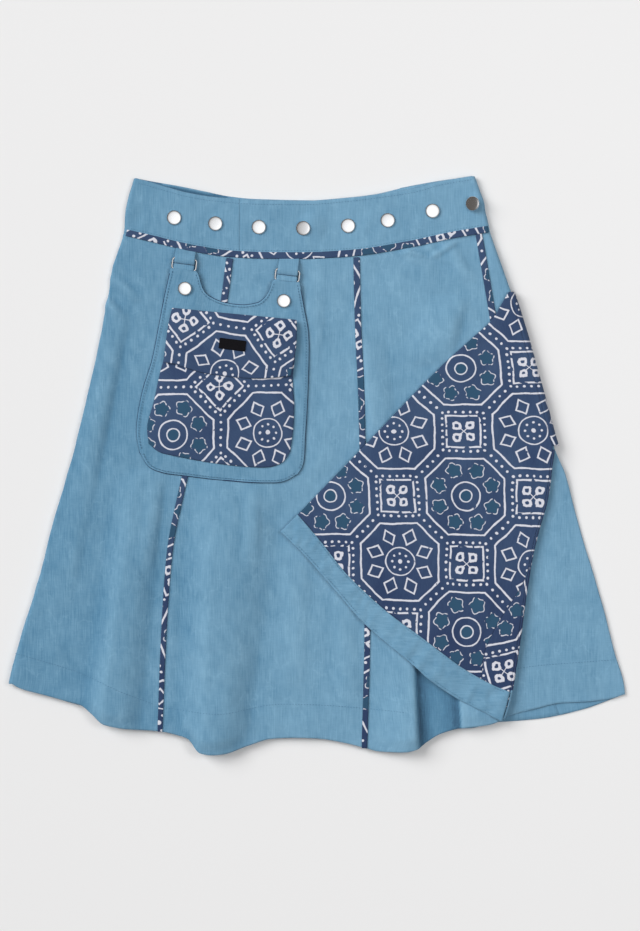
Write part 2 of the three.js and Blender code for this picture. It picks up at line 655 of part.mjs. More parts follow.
// A crowned sheet lies close at its edges and swells between them
function crowned(sides, columns, rows, under, crown) {
  const flat = sheet(sides, columns, rows, under);
  return flat.map((row, i) =>
    row.map((at, j) => {
      const u = Math.sin((Math.PI * j) / columns) ** 0.6;
      const v = Math.sin((Math.PI * i) / rows) ** 0.6;
      return at.clone().setZ(at.z + crown * u * v);
    }),
  );
}
const pocketAt = (x, y) => backingAt(x, y) + CLOTH + GAP;
const pocket = crowned(
  {
    top: through([POCKET_LEFT[0], POCKET_RIGHT[0]]),
    bottom: through(POCKET_BOTTOM),
    left: through(POCKET_LEFT),
    right: through(POCKET_RIGHT),
  },
  9, 9, pocketAt, POCKET_CROWN,
);
add("pocket_body", wall(pocket, CLOTH), "print");
const POCKET_FLAP_RISE = 3;
const pocketFlapAt = (x, y) => pocketAt(x, y) + CLOTH + GAP + POCKET_FLAP_RISE * ease((160 - y) / 26);
const pocketFlap = crowned(
  {
    top: through([POCKET_FLAP_LEFT[0], POCKET_FLAP_RIGHT[0]]),
    bottom: through(POCKET_FLAP_BOTTOM),
    left: through(POCKET_FLAP_LEFT),
    right: through(POCKET_FLAP_RIGHT),
  },
  9, 5, pocketFlapAt, 1,
);
add("pocket_flap", wall(pocketFlap, CLOTH), "print");
const labelShape = new THREE.Shape();
labelShape.moveTo(-LABEL.width / 2, -LABEL.height / 2);
labelShape.lineTo(LABEL.width / 2, -LABEL.height / 2);
labelShape.lineTo(LABEL.width / 2, LABEL.height / 2);
labelShape.lineTo(-LABEL.width / 2, LABEL.height / 2);
const label = add(
  "pocket_label",
  new THREE.ExtrudeGeometry(labelShape, { depth: LABEL.thickness, bevelEnabled: false }),
  "label",
);
label.position.set(LABEL.x, LABEL.y, pocketFlapAt(LABEL.x, LABEL.y) + 1 + CLOTH / 2 + GAP);
label.rotation.z = POUCH_TILT;

// Metal rings that join the pouch to the waist straps, with cloth looped round both bars
const LOOP_SLACK = 0.2;
const LOOP_STEPS = 6;
const STRAP_SHOULDER = 3;
const STRAP_TOP_GAP = 1.6;
const TAB_TURN_LENGTH = 8;
const LOOP = RING.wire / 2 + GAP + CLOTH / 2 + LOOP_SLACK;
const RING_OVER_FRONT = GAP + CLOTH / 2 + LOOP;
function ringGeometry() {
  const cornerSteps = 4;
  const sides = 8;
  const path = [[1, 1], [-1, 1], [-1, -1], [1, -1]].flatMap(([x, y], k) =>
    Array.from({ length: cornerSteps }, (_, step) => {
      const angle = (Math.PI / 2) * (k + step / (cornerSteps - 1));
      const outward = new THREE.Vector3(Math.cos(angle), Math.sin(angle), 0);
      const reachX = RING.width / 2 - RING.wire / 2 - RING.corner;
      const reachY = RING.height / 2 - RING.wire / 2 - RING.corner;
      const centre = new THREE.Vector3(x * reachX, y * reachY, 0);
      return { outward, at: centre.addScaledVector(outward, RING.corner) };
    }),
  );
  const vertices = path.flatMap(({ outward, at }) =>
    Array.from({ length: sides }, (_, k) => {
      const angle = (2 * Math.PI * k) / sides;
      const offset = outward.clone().multiplyScalar(Math.cos(angle)).setZ(Math.sin(angle));
      return at.clone().addScaledVector(offset, RING.wire / 2).toArray();
    }).flat(),
  );
  const index = path.flatMap((_, i) =>
    Array.from({ length: sides }, (__, k) => {
      const next = (i + 1) % path.length;
      const a = i * sides + k;
      const b = next * sides + k;
      const c = next * sides + ((k + 1) % sides);
      const d = i * sides + ((k + 1) % sides);
      return [a, b, c, a, c, d];
    }).flat(),
  );
  return facingOut(vertices, index);
}

// A cloth strip whose side view is a list of distance and height pairs
function strip(profile) {
  return profile.map(([along, height]) =>
    [-1, 0, 1].map((k) => new THREE.Vector3((k * STRAP_WIDTH) / 2, along, height)),
  );
}
const halfTurn = (centre, facing) =>
  Array.from({ length: LOOP_STEPS + 1 }, (_, k) => {
    const angle = (Math.PI * k) / LOOP_STEPS;
    return [centre - facing * LOOP * Math.sin(angle), LOOP * Math.cos(angle)];
  });
for (const [side, [x, y]] of Object.entries(RINGS)) {
  const hanger = new THREE.Group();
  hanger.position.set(x, y, frontFlatAt(x, y) + RING_OVER_FRONT);
  hanger.rotation.z = POUCH_TILT;
  skirt.add(hanger);
  add(`ring_${side}`, ringGeometry(), "nickel", hanger);
  const bar = RING.height / 2 - RING.wire / 2;
  const trimFoot = waist(x) - WAIST_TRIM_WIDTH / 2 - STRAP_TOP_GAP - y;
  const strapProfile = [
    [trimFoot, 2 * GAP + CLOTH / 2 - RING_OVER_FRONT],
    [bar + STRAP_SHOULDER, LOOP - GAP],
    ...halfTurn(bar, 1),
    [bar + STRAP_SHOULDER, -LOOP],
  ];
  add(`strap_${side}`, wall(strip(strapProfile), CLOTH), "canvas", hanger);
  const tabProfile = [...halfTurn(-bar, -1), [-bar - TAB_TURN_LENGTH, -LOOP]];
  add(`tab_turn_${side}`, wall(strip(tabProfile), CLOTH), "canvas", hanger);
}
for (const [side, place] of Object.entries(POUCH_SNAPS)) {
  const cap = add(`pouch_snap_${side}`, capGeometry(POUCH_CAP_DIAMETER), "nickel");
  seat(cap, place, backingAt, CLOTH / 2 + 2 * GAP);
}

export default skirt;
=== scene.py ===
# A two-sided canvas wrap skirt with a detachable hip pouch, fastened and laid flat on its back.
# Tables and functions work in millimetres in the frame of the part's drawing, and meshes are made
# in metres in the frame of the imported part.
import math

import bpy
import numpy as np
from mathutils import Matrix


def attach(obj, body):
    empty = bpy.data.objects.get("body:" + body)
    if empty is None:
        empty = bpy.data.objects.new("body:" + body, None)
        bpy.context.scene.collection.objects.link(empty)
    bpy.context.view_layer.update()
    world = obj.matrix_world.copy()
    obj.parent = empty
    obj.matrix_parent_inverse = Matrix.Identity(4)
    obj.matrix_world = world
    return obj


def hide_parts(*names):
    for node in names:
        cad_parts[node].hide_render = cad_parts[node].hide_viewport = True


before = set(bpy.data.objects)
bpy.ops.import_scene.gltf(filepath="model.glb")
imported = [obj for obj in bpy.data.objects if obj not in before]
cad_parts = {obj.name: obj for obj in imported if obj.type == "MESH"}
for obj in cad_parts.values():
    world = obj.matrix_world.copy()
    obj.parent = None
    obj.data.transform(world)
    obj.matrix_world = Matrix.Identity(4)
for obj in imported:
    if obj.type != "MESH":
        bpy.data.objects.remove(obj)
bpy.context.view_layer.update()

# Back gores. Two panels of blue canvas, lined with block-printed cotton, lie flat on the surface.
# Each is wider at the hem than at the waist. Printed tape covers the seams between them, and the
# skirt's wrap end lifts their right side where it lies below.
MM = 0.001
DRAWING_MIDDLE = np.array([0.1, -0.25, 0.0])
CLOTH = 1.2
BAND = 1.5
GAP = 0.3
PITCH = BAND + GAP
SEAM_GAP = 0.3
END_GAP = 0.8
TAPE_WIDTH = 8
RIM_BULGE = 0.35
WAIST = [
    (-193.5, 233), (-163, 226), (-143, 221), (-120, 216.2), (-86.5, 211.3), (-50, 209.7), (-17, 209.5),
    (38, 212.3), (91, 220.5), (136, 230), (172, 236),
]
BACK_HEM = [
    (-309, -220), (-237, -241), (-157, -257), (-77, -266), (3, -268), (83, -266), (163, -259),
    (221, -254.5), (267, -245), (293, -236), (309, -230),
]
BACK_SEAM_A = [(228, -174), (-240, -247)]
BACK_SEAM_B = [(210, -47), (-268, -2)]
BACK_SEAM_C = [(218, 80), (-250, 243)]
WRAP_END_X = 83
WRAP_CORNER = (WRAP_END_X, 217)
FOLD_MEETING = (235.5, 19)
TURNED_TIP = (114, 180)
FLAP_TOP = (192, 173)
BEYOND_SIDE = 320
UNDER_WRAP_END = [
    (WRAP_END_X, 300), WRAP_CORNER, FOLD_MEETING, (BEYOND_SIDE, FOLD_MEETING[1]), (BEYOND_SIDE, 300),
]
UNDER_TURNED = [
    FLAP_TOP, TURNED_TIP, FOLD_MEETING, (BEYOND_SIDE, FOLD_MEETING[1]), (BEYOND_SIDE, FLAP_TOP[1]),
]
RISE_RUN = 75
WAIST_RUN = 40


def ease(t):
    """Smooth step from 0 to 1: 3 t squared less 2 t cubed."""
    t = np.clip(t, 0, 1)
    return t * t * (3 - 2 * t)


def unit(vectors):
    """Vectors of the same directions, all 1 long."""
    return vectors / np.linalg.norm(vectors, axis=-1, keepdims=True)


def distances(line):
    """Distance along a line from its start to each of its points."""
    return np.concatenate([[0], np.cumsum(np.linalg.norm(np.diff(line, axis=0), axis=1))])


def cubic(t, start, out, end, into):
    """Cubic from start to end, with the slope out at its start and into at its end, as t goes from 0 to 1."""
    first = (2 * t**3 - 3 * t**2 + 1) * start + (t**3 - 2 * t**2 + t) * out
    return first + (3 * t**2 - 2 * t**3) * end + (t**3 - t**2) * into


def graph(table):
    """Second column of a table as a smooth function of the first: cubic pieces whose slope at a row is the
    harmonic mean of the slopes beside it, or level where they turn, and straight lines beyond the ends."""
    at, value = np.array(sorted(table), float).T
    step = np.diff(at)
    slope = np.diff(value) / step
    product = slope[:-1] * slope[1:]
    total = np.where(product > 0, slope[:-1] + slope[1:], 1)
    tangent = np.concatenate([slope[:1], np.where(product > 0, 2 * product / total, 0), slope[-1:]])

    def curve(place):
        place = np.asarray(place, float)
        i = np.clip(np.searchsorted(at, place) - 1, 0, len(at) - 2)
        run = (place - at[i]) / step[i]
        t = np.clip(run, 0, 1)
        smooth = cubic(t, value[i], step[i] * tangent[i], value[i + 1], step[i] * tangent[i + 1])
        return smooth + (run - t) * step[i] * np.where(run < 0, tangent[i], tangent[i + 1])

    return curve


def across(height, start, end):
    """Edge that runs across the skirt along a graph of x."""

    def edge(t):
        x = start + (end - start) * np.asarray(t, float)
        return np.stack([x, height(x) + 0 * x], -1)

    return edge


def down(place, start, end):
    """Edge that runs down the skirt along a graph of y."""

    def edge(t):
        y = start + (end - start) * np.asarray(t, float)
        return np.stack([place(y), y], -1)

    return edge


def between(top, bottom, left, right, u, v):
    """Places between four edges: the two surfaces ruled from side to side and from top to bottom, added,
    less the one that only joins their corners (a Coons patch). The outer places are moved in by half
    the gap that parts sewn pieces."""
    u, v = np.broadcast_arrays(u, v[:, None])
    a, b = u[..., None], v[..., None]
    corners = [edge(np.array(end)) for edge in (top, bottom) for end in (0.0, 1.0)]
    ruled = (1 - b) * top(u) + b * bottom(u) + (1 - a) * left(v) + a * right(v)
    joined = (1 - b) * ((1 - a) * corners[0] + a * corners[1]) + b * ((1 - a) * corners[2] + a * corners[3])
    places = ruled - joined
    inset = places.copy()
    for edge, inner in ((0, 1), (-1, -2)):
        inset[:, edge] += unit(places[:, inner] - places[:, edge]) * SEAM_GAP / 2
        inset[edge] += unit(places[inner] - places[edge]) * END_GAP / 2
    return inset


def raised(places, height):
    """Points over places, at a height that is a function of x and y."""
    return np.concatenate([places, height(places[..., 0], places[..., 1])[..., None]], -1)


def beyond(region, x, y):
    """Distance from a place to a region with straight sides, and 0 inside it."""
    x, y = np.asarray(x, float), np.asarray(y, float)
    inside = np.zeros(x.shape, bool)
    nearest = np.full(x.shape, np.inf)
    for (ax, ay), (bx, by) in zip(region, region[1:] + region[:1]):
        if ay != by:
            inside ^= ((ay > y) != (by > y)) & (x < (bx - ax) * (y - ay) / (by - ay) + ax)
        t = np.clip(((x - ax) * (bx - ax) + (y - ay) * (by - ay)) / ((bx - ax) ** 2 + (by - ay) ** 2), 0, 1)
        nearest = np.minimum(nearest, np.hypot(x - ax - t * (bx - ax), y - ay - t * (by - ay)))
    return np.where(inside, 0, nearest)


def seam(table, hem):
    """Edge that runs down a seam, from the waist to a hem."""
    (_, top_x), *_, (_, foot_x) = table
    return down(graph(table), float(waist(top_x)), float(hem(foot_x)))


waist = graph(WAIST)
back_hem = graph(BACK_HEM)


def over_wrap_end(x, y):
    """Rise of the layers that lie over the wrap end, easing out beside it."""
    return PITCH * ease(1 - beyond(UNDER_WRAP_END, x, y) / RISE_RUN)


def over_turned(x, y):
    """Rise of the layers that lie over the turned corner at the back. It eases out beside the corner and at
    the waist."""
    return PITCH * ease(1 - beyond(UNDER_TURNED, x, y) / RISE_RUN) * ease((waist(x) - y) / WAIST_RUN)


def back_at(x, y):
    """Height of the middle of the back layer."""
    return CLOTH / 2 + over_turned(x, y) + over_wrap_end(x, y)


def tape_columns(left, right, rows, count):
    """Shares of the width of a panel, with its outer columns half a tape wide in every row."""
    v = np.linspace(0, 1, rows + 1)
    border = (TAPE_WIDTH / 2) / np.linalg.norm(right(v) - left(v), axis=-1)[:, None]
    inner = border + (1 - 2 * border) * np.linspace(0, 1, count + 1)
    return np.concatenate([0 * border, inner, 1 + 0 * border], 1), v


class Field:
    """A value that varies over a surface. Its sums and products are shader nodes, so that a finish can be
    written as a formula."""

    def __init__(self, tree, socket):
        self.tree = tree
        self.socket = socket

    def maths(self, operation, *others):
        """Result of a shader's maths on this value and others, which are fields or numbers."""
        node = self.tree.nodes.new("ShaderNodeMath")
        node.operation = operation
        for place, value in zip(node.inputs, (self, *others)):
            if isinstance(value, Field):
                self.tree.links.new(value.socket, place)
            else:
                place.default_value = value
        return Field(self.tree, node.outputs[0])

    def __add__(self, other):
        return self.maths("ADD", other)

    def __sub__(self, other):
        return self.maths("SUBTRACT", other)

    def __mul__(self, other):
        return self.maths("MULTIPLY", other)

    def __truediv__(self, other):
        return self.maths("DIVIDE", other)

    def __abs__(self):
        return self.maths("ABSOLUTE")

    def most(self, other):
        return self.maths("MAXIMUM", other)

    def least(self, other):
        return self.maths("MINIMUM", other)

    def share(self):
        """The value held between 0 and 1."""
        return self.most(0).least(1)

    def nearest(self):
        """The whole number nearest to the value."""
        return (self + 0.5).maths("FLOOR")

    def length(self, other):
        """Length of the vector with this part and the other."""
        return (self * self + other * other).maths("SQRT")

    def within(self, half_width, softness):
        """1 where the value is under half_width, and 0 above it, over a soft edge."""
        node = self.tree.nodes.new("ShaderNodeMapRange")
        node.inputs["From Min"].default_value = half_width + softness / 2
        node.inputs["From Max"].default_value = half_width - softness / 2
        self.tree.links.new(self.socket, node.inputs["Value"])
        return Field(self.tree, node.outputs[0])


class Finish:
    """A cloth's material while it is written: it reads the cloth's own coordinates in millimetres."""

    def __init__(self, name):
        self.material = bpy.data.materials.new(name)
        self.material.use_nodes = True
        self.tree = self.material.node_tree
        self.shader = self.tree.nodes["Principled BSDF"]
        self.place = self.layer("cloth")
        self.x, self.y, _ = self.parts(self.place)

    def layer(self, name):
        """A layer of coordinates of the mesh."""
        node = self.tree.nodes.new("ShaderNodeUVMap")
        node.uv_map = name
        return node.outputs[0]

    def parts(self, socket, kind="XYZ"):
        """The three parts of a vector or a colour."""
        node = self.tree.nodes.new(f"ShaderNodeSeparate{kind}")
        self.tree.links.new(socket, node.inputs[0])
        return [Field(self.tree, output) for output in node.outputs]

    def over_part(self):
        """Coordinates in metres over the whole part, for what changes across it."""
        return self.parts(self.tree.nodes.new("ShaderNodeTexCoord").outputs["Object"])

    def noise(self, size_x, size_y, detail=2.0, shift=0.0):
        """Smooth noise whose spots measure size_x by size_y millimetres; its channels are independent."""
        turned = self.tree.nodes.new("ShaderNodeMapping")
        turned.inputs["Location"].default_value = (shift, shift, 0)
        turned.inputs["Scale"].default_value = (1 / size_x, 1 / size_y, 1)
        self.tree.links.new(self.place, turned.inputs["Vector"])
        node = self.tree.nodes.new("ShaderNodeTexNoise")
        node.noise_dimensions = "2D"
        node.inputs["Scale"].default_value = 1
        node.inputs["Detail"].default_value = detail
        self.tree.links.new(turned.outputs[0], node.inputs["Vector"])
        return self.parts(node.outputs["Color"], "Color")

    def mix(self, share, first, second):
        """Colour that goes from first to second as share goes from 0 to 1. Each is a colour or a socket."""
        node = self.tree.nodes.new("ShaderNodeMix")
        node.data_type = "RGBA"
        self.tree.links.new(share.socket, node.inputs["Factor"])
        for colour, socket in ((first, node.inputs[6]), (second, node.inputs[7])):
            if isinstance(colour, bpy.types.NodeSocket):
                self.tree.links.new(colour, socket)
            else:
                socket.default_value = linear(colour)
        return node.outputs[2]

    def surface(self, colour, **settings):
        """Gives the shader its colour and its settings, whose names have an underscore for each space."""
        self.tree.links.new(colour, self.shader.inputs["Base Color"])
        for name, value in settings.items():
            self.shader.inputs[name.replace("_", " ")].default_value = value

    def weave(self, thread, strength, loft):
        """Plain weave for the bump: threads of one width each way, pressed flat by the strength given."""
        wave = (self.x * (math.pi / thread)).maths("SINE") * (self.y * (math.pi / thread)).maths("SINE")
        node = self.tree.nodes.new("ShaderNodeBump")
        node.inputs["Strength"].default_value = strength
        node.inputs["Distance"].default_value = WEAVE_DEPTH
        height = wave * WEAVE_SHARE + loft
        self.tree.links.new(height.socket, node.inputs["Height"])
        self.tree.links.new(node.outputs[0], self.shader.inputs["Normal"])


def linear(colour):
    """A colour given as it shows on a screen, 0 to 255, as the shader's own linear values."""
    share = np.array(colour) / 255
    return (*np.where(share <= 0.04045, share / 12.92, ((share + 0.055) / 1.055) ** 2.4), 1.0)


WEAVE_DEPTH = 0.0002
WEAVE_SHARE = 0.35
# Painted shade across the part: how fast the canvas darkens towards the left, where the light falls off, and
# its share at the middle
PAINTED_FALLOFF_PER_METRE = 4.0
PAINTED_FALLOFF_AT_MIDDLE = 1.05


def canvas_finish(name, light, dark):
    """Chambray canvas: slubs run down the cloth and fewer across it, over mottling from many washes. Light
    and shade are painted on it too: painted highlights along thin veins, where small crumples catch the
    light; painted shade that darkens it towards the left, where the light falls off; and the painted light
    and shade, or the darker tone, that each piece gives in its layer."""
    made = Finish(name)
    # Painted shade: darker towards the left, where the light falls off
    painted_falloff = (made.over_part()[0] * PAINTED_FALLOFF_PER_METRE + PAINTED_FALLOFF_AT_MIDDLE).share()
    # Painted light and shade, or a darker tone, that each piece gives in its layer
    shading_tone_values = made.parts(made.layer("wear"))[0]
    slubs = made.noise(1.1, 20, 3, 11)[0]
    picks = made.noise(9, 1.0, 2, 5)[1]
    mottle = made.noise(9, 16, 3, 3)[2]
    wash = made.noise(60, 80, 2, 19)[0]
    # Painted highlights: thin pale veins where small crumples catch the light
    crease = made.noise(16, 26, 3, 23)
    crumple_highlights = (abs(crease[0] - 0.5) * -24 + 1).most(0) * ((crease[1] - 0.45) * 6).share()
    share = slubs * 0.8 + picks * 0.3 + mottle * 0.5 + wash * 0.45 + crumple_highlights * 0.22 + painted_falloff * 0.36 + shading_tone_values - 0.76
    deep = made.mix((share * -1).share(), dark, CANVAS_DEEP)
    colour = made.mix(share.share(), deep, light)
    made.surface(colour, Roughness=0.88, Specular_IOR_Level=0.2, Sheen_Weight=0.1, Sheen_Roughness=0.6)
    rumple = made.noise(6, 10, 3, 7)[0]
    made.weave(0.55, 0.4, slubs * 0.5 + rumple * 1.3)
    return made.material


CANVAS_LIGHT = (126, 169, 196)
CANVAS_DARK = (86, 133, 164)
CANVAS_DEEP = (58, 94, 122)
canvas = canvas_finish("blue_canvas", CANVAS_LIGHT, CANVAS_DARK)


# The block print. Octagons and squares stand like the fields of a chessboard, charted from their sizes
# alone: rows of octagons with eight flowers take turns with rows of octagons with eight lozenges.
CELL = 67.0
OCTAGON_FLAT = 38.6
OCTAGON_CORNER = 40.2
LINE = 0.9
SOFT = 0.45
DOT_RADIUS = 1.35
DOT_RING = 46.4
DOT_STEP = 6.9
CORNER_DOT_STEP = 7.7
SQUARE_HALF = 16.6
BLOB_PLACE = 6.3
BLOB_RADIUS = 4.7
BLOB_HOLE = 1.9
RING_RADIUS = 14.3
EYE_RADIUS = 6.2
FLOWER_PLACE = 28.0
FLOWER_RADIUS = 7.2
LOZENGE_PLACE = 26.4
LOZENGE_LONG = 8.0
LOZENGE_SHORT = 6.6
SEED_PLACE = 8.3
NAVY = (67, 88, 119)
NAVY_DEEP = (48, 64, 97)
TEAL = (50, 83, 109)
CHALK = (218, 219, 228)
BEND = 2.8
SHAKE = 0.4
HEM_DARKENING = 2.6


def print_finish():
    """Navy cotton with chalk-white lines and dots and teal fills, each a distance compared with a width.
    Noise bends the lines as a hand block does, and starves some of them of ink."""
    made = Finish("block_print")
    eighth = math.pi / 4
    bend = made.noise(24, 24, 1, 2)
    shake = made.noise(4, 4, 1, 8)
    x = made.x + (bend[0] - 0.5) * BEND + (shake[0] - 0.5) * SHAKE
    y = made.y + (bend[1] - 0.5) * BEND + (shake[1] - 0.5) * SHAKE
    ink = made.noise(6, 6, 2, 17)
    width = ink[0] * 1.3 - 0.65
    gaps = made.noise(7, 7, 1, 29)
    p = (x + y) / (2 * CELL)
    q = (x - y) / (2 * CELL)
    dp = p - p.nearest()
    dq = q - q.nearest()
    kind = (p.nearest() - q.nearest()).maths("FLOORED_MODULO", 2)
    local_x = (dp + dq) * CELL
    local_y = (dp - dq) * CELL
    ax = abs(local_x)
    ay = abs(local_y)
    high = ax.most(ay)
    low = ax.least(ay)
    slant = (ax + ay) / math.sqrt(2)
    radius = local_x.length(local_y)
    angle = local_y.maths("ARCTAN2", local_x)
    sector = (angle / eighth).maths("FLOOR")
    turned = angle - (sector + 0.5) * eighth
    out = radius * turned.maths("COSINE")
    side = radius * turned.maths("SINE")

    def line(distance, half_width):
        return (abs(distance) - width * half_width * 0.55).within(half_width, SOFT)

    def dot(distance, size):
        return (distance - width * 0.5).within(size, SOFT)

    octagon = line((high - OCTAGON_FLAT).most(slant - OCTAGON_CORNER), LINE)
    flat_dots = dot((high - DOT_RING).length(low - (low / DOT_STEP).nearest() * DOT_STEP), DOT_RADIUS)
    run = (ax - ay) / (math.sqrt(2) * CORNER_DOT_STEP)
    run_off = (run - 0.5 - (run - 0.5).nearest()) * CORNER_DOT_STEP
    corner_dots = dot((slant - CELL / math.sqrt(2)).length(run_off), DOT_RADIUS)
    flat_dots = flat_dots * low.within(DOT_STEP * 2.6, SOFT)
    corner_dots = corner_dots * abs(ax - ay).within(30, SOFT)

    from_square = (high * -1) + CELL
    square = line(from_square.most(low) - SQUARE_HALF, LINE)
    square = square * ((gaps[1] - 0.37) * 22).share()
    blob_x = from_square - BLOB_PLACE + (ink[2] - 0.5) * 3
    blob_y = low - BLOB_PLACE + (ink[1] - 0.5) * 3
    blob = (blob_x.length(blob_y) + abs(blob_x).most(abs(blob_y))) * 0.54
    blobs = dot(blob, BLOB_RADIUS) - dot(blob, BLOB_HOLE)
    cross = line(from_square - low, 0.6) * (from_square + low).within(BLOB_PLACE * 1.4, SOFT)

    ring = line(radius - RING_RADIUS, 0.72)
    eye = line(radius - EYE_RADIUS, 0.65)
    petal_out = out - FLOWER_PLACE
    petal_angle = side.maths("ARCTAN2", petal_out) + sector * 1.9
    petal_radius = (petal_angle * 5).maths("COSINE") * 0.9 + FLOWER_RADIUS
    petal = petal_out.length(side) - petal_radius
    starved = ((shake[2] - 0.41) * 14).share()
    flower_lines = (line(petal, 0.5) * starved * 0.9).most(ring).most(eye)
    flower_fill = (petal + 0.9).within(0, 1.4).most(radius.within(EYE_RADIUS - 0.5, 1.0))

    lozenge = abs(out - LOZENGE_PLACE) / LOZENGE_LONG + abs(side) / LOZENGE_SHORT
    stretch = LOZENGE_LONG * LOZENGE_SHORT / math.hypot(LOZENGE_LONG, LOZENGE_SHORT)
    lozenges = line((lozenge - 1) * stretch, 0.75)
    seed_turn = angle - (angle / eighth).nearest() * eighth
    seed = (radius * seed_turn.maths("COSINE") - SEED_PLACE).length(radius * seed_turn.maths("SINE"))
    seeds = dot(seed, 1.2).most(dot(radius, 2.2))
    lozenge_lines = line(radius - RING_RADIUS, 0.6).most(lozenges).most(seeds)

    inner = flower_lines + (lozenge_lines - flower_lines) * kind
    frame_lines = octagon.most(flat_dots).most(corner_dots).most(square).most(blobs).most(cross)
    inked = ((gaps[0] - 0.16) * 22).share()
    chalk = inner.most(frame_lines) * inked * 0.96
    fill = flower_fill * ((kind * -1) + 1)
    dye = made.noise(34, 50, 3, 41)[0]
    threads = made.noise(1.2, 7, 2, 43)[0]
    # The navy ground is darker towards the hem
    towards_hem = ((made.over_part()[1] + 0.02) * HEM_DARKENING).least(0)
    ground = made.mix((dye * 1.1 + threads * 0.5 - 0.25 + towards_hem).share(), NAVY_DEEP, NAVY)
    colour = made.mix(chalk, made.mix(fill, ground, TEAL), CHALK)
    made.surface(colour, Roughness=0.88, Specular_IOR_Level=0.2, Sheen_Weight=0.08)
    crumple = made.noise(9, 13, 3, 7)[0]
    made.weave(0.5, 0.35, chalk * 0.3 + crumple * 1.4)
    return made.material


def flecked_finish(name, dark, light, fleck, shift, roughness):
    """Plain dyed cotton, flecked between two tones."""
    made = Finish(name)
    made.surface(made.mix(made.noise(fleck, fleck, 2, shift)[0], dark, light), Roughness=roughness)
    return made.material


block_print = print_finish()
EDGING_NAVY = (34, 44, 76)
edging = flecked_finish("navy_edging", NAVY_DEEP, EDGING_NAVY, 5, 3, 0.9)
FINISHES = {"canvas": canvas, "print": block_print, "edging": edging}
TWO_SIDED = ("canvas", "print")
TURNED_OVER = ("print", "canvas")
ALL_CANVAS = ("canvas", "canvas")
ALL_PRINT = ("print", "print")


def unrolled(middle, column=0):
    """Cloth coordinates of a sheet: along its rows the distance from one column, which keeps its x, and down
    its columns y."""
    step = np.linalg.norm(np.diff(middle, axis=1), axis=2)
    run = np.concatenate([np.zeros((len(middle), 1)), np.cumsum(step, 1)], 1)
    beside, way = (1, 1) if column == 0 else (-2, -1)
    start = middle[:, column, :1]
    forward = np.sign((middle[:1, beside, :1] - start[:1]) * way)
    return np.stack([start + forward * (run - run[:, column][:, None]), middle[..., 1]], -1)


def linked(name, data, place=(0, 0, 0)):
    """Object of a mesh, a lamp or a camera, put into the scene."""
    made = bpy.data.objects.new(name, data)
    made.location = place
    bpy.context.scene.collection.objects.link(made)
    return made


def meshed(name, points, faces, *materials):
    """Smooth object whose points are given in the frame of the drawing."""
    mesh = bpy.data.meshes.new(name)
    mesh.from_pydata(((points - DRAWING_MIDDLE) * MM).tolist(), [], faces)
    for material in materials:
        mesh.materials.append(material)
    mesh.shade_smooth()
    return linked(name, mesh)


def charted(mesh, layer, places):
    """Gives a mesh a layer of coordinates, from a pair of them for each of its points."""
    corners = np.empty(len(mesh.loops), np.int32)
    mesh.loops.foreach_get("vertex_index", corners)
    mesh.uv_layers.new(name=layer).data.foreach_set("uv", places[corners].ravel().astype(np.float32))


def shell(name, middle, thickness, faces, cloth, tape=(), facing=(0, 0), rim=None, bulge=RIM_BULGE, wear=0):
    """Closed wall of a sheet: its middle surface moved half the thickness along its normal to each side,
    with one row between them round the rim that stands out, so that the edge is round. The side that the
    rows and columns turn to takes the first of the two finishes. Tape columns on it take the print, the last
    rows of each side, as many as facing says, take canvas, and the rim may have its own finish. The last
    value says how much paler than the rest its canvas is, below 0 where darker, one value or one for each
    place: painted light and shade on some pieces, a little darker tone on others."""
    rows, columns, _ = middle.shape
    count = rows * columns
    normal = unit(np.cross(np.gradient(middle, axis=1), np.gradient(middle, axis=0)))
    index = np.arange(count).reshape(rows, columns)
    inward = index[np.clip(np.arange(rows), 1, rows - 2)][:, np.clip(np.arange(columns), 1, columns - 2)]
    ring = np.concatenate([index[0, :-1], index[:-1, -1], index[-1, :0:-1], index[:0:-1, 0]])
    flat = middle.reshape(-1, 3)
    edge_points = flat[ring] + unit(flat[ring] - flat[inward.ravel()[ring]]) * thickness * bulge
    upper = (middle + normal * thickness / 2).reshape(-1, 3)
    lower = (middle - normal * thickness / 2).reshape(-1, 3)
    quads = np.stack([index[:-1, :-1], index[:-1, 1:], index[1:, 1:], index[1:, :-1]], -1).reshape(-1, 4)
    edge = 2 * count + np.arange(len(ring))
    after = np.roll(ring, -1)
    edge_after = np.roll(edge, -1)
    walls = np.concatenate([
        quads,
        quads[:, ::-1] + count,
        np.stack([after, ring, edge, edge_after], -1),
        np.stack([edge_after, edge, ring + count, after + count], -1),
    ])
    rim = rim or faces[0]
    kinds = list(dict.fromkeys([*faces, rim] + ["print"] * bool(tape) + ["canvas"] * any(facing)))
    finishes = [FINISHES[kind] for kind in kinds]
    made = meshed(name, np.concatenate([upper, lower, edge_points]), walls, *finishes)
    # The painted light and shade, or the darker tone, for each place, on both sides
    shading_tone_values = np.stack([np.broadcast_to(wear, (rows, columns))] * 2, -1)
    for layer, values in (("cloth", cloth), ("wear", shading_tone_values)):
        values = values.reshape(-1, 2)
        charted(made.data, layer, np.concatenate([values, values, values[ring]]))
    outer = np.full((rows - 1, columns - 1), kinds.index(faces[0]))
    for column in tape:
        outer[:, column] = kinds.index("print")
    inner = np.full((rows - 1, columns - 1), kinds.index(faces[1]))
    for side, last in zip((outer, inner), facing):
        if last:
            side[-last:] = kinds.index("canvas")
    which = np.concatenate([outer.ravel(), inner.ravel(), np.full(2 * len(ring), kinds.index(rim))])
    made.data.polygons.foreach_set("material_index", which.astype(np.int32))
    made.data.update()
    return made


def sewn(piece, node):
    """Puts a piece in the skirt: it rides on its one body and stands for its node."""
    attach(piece, "root")
    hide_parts(node)
    return piece


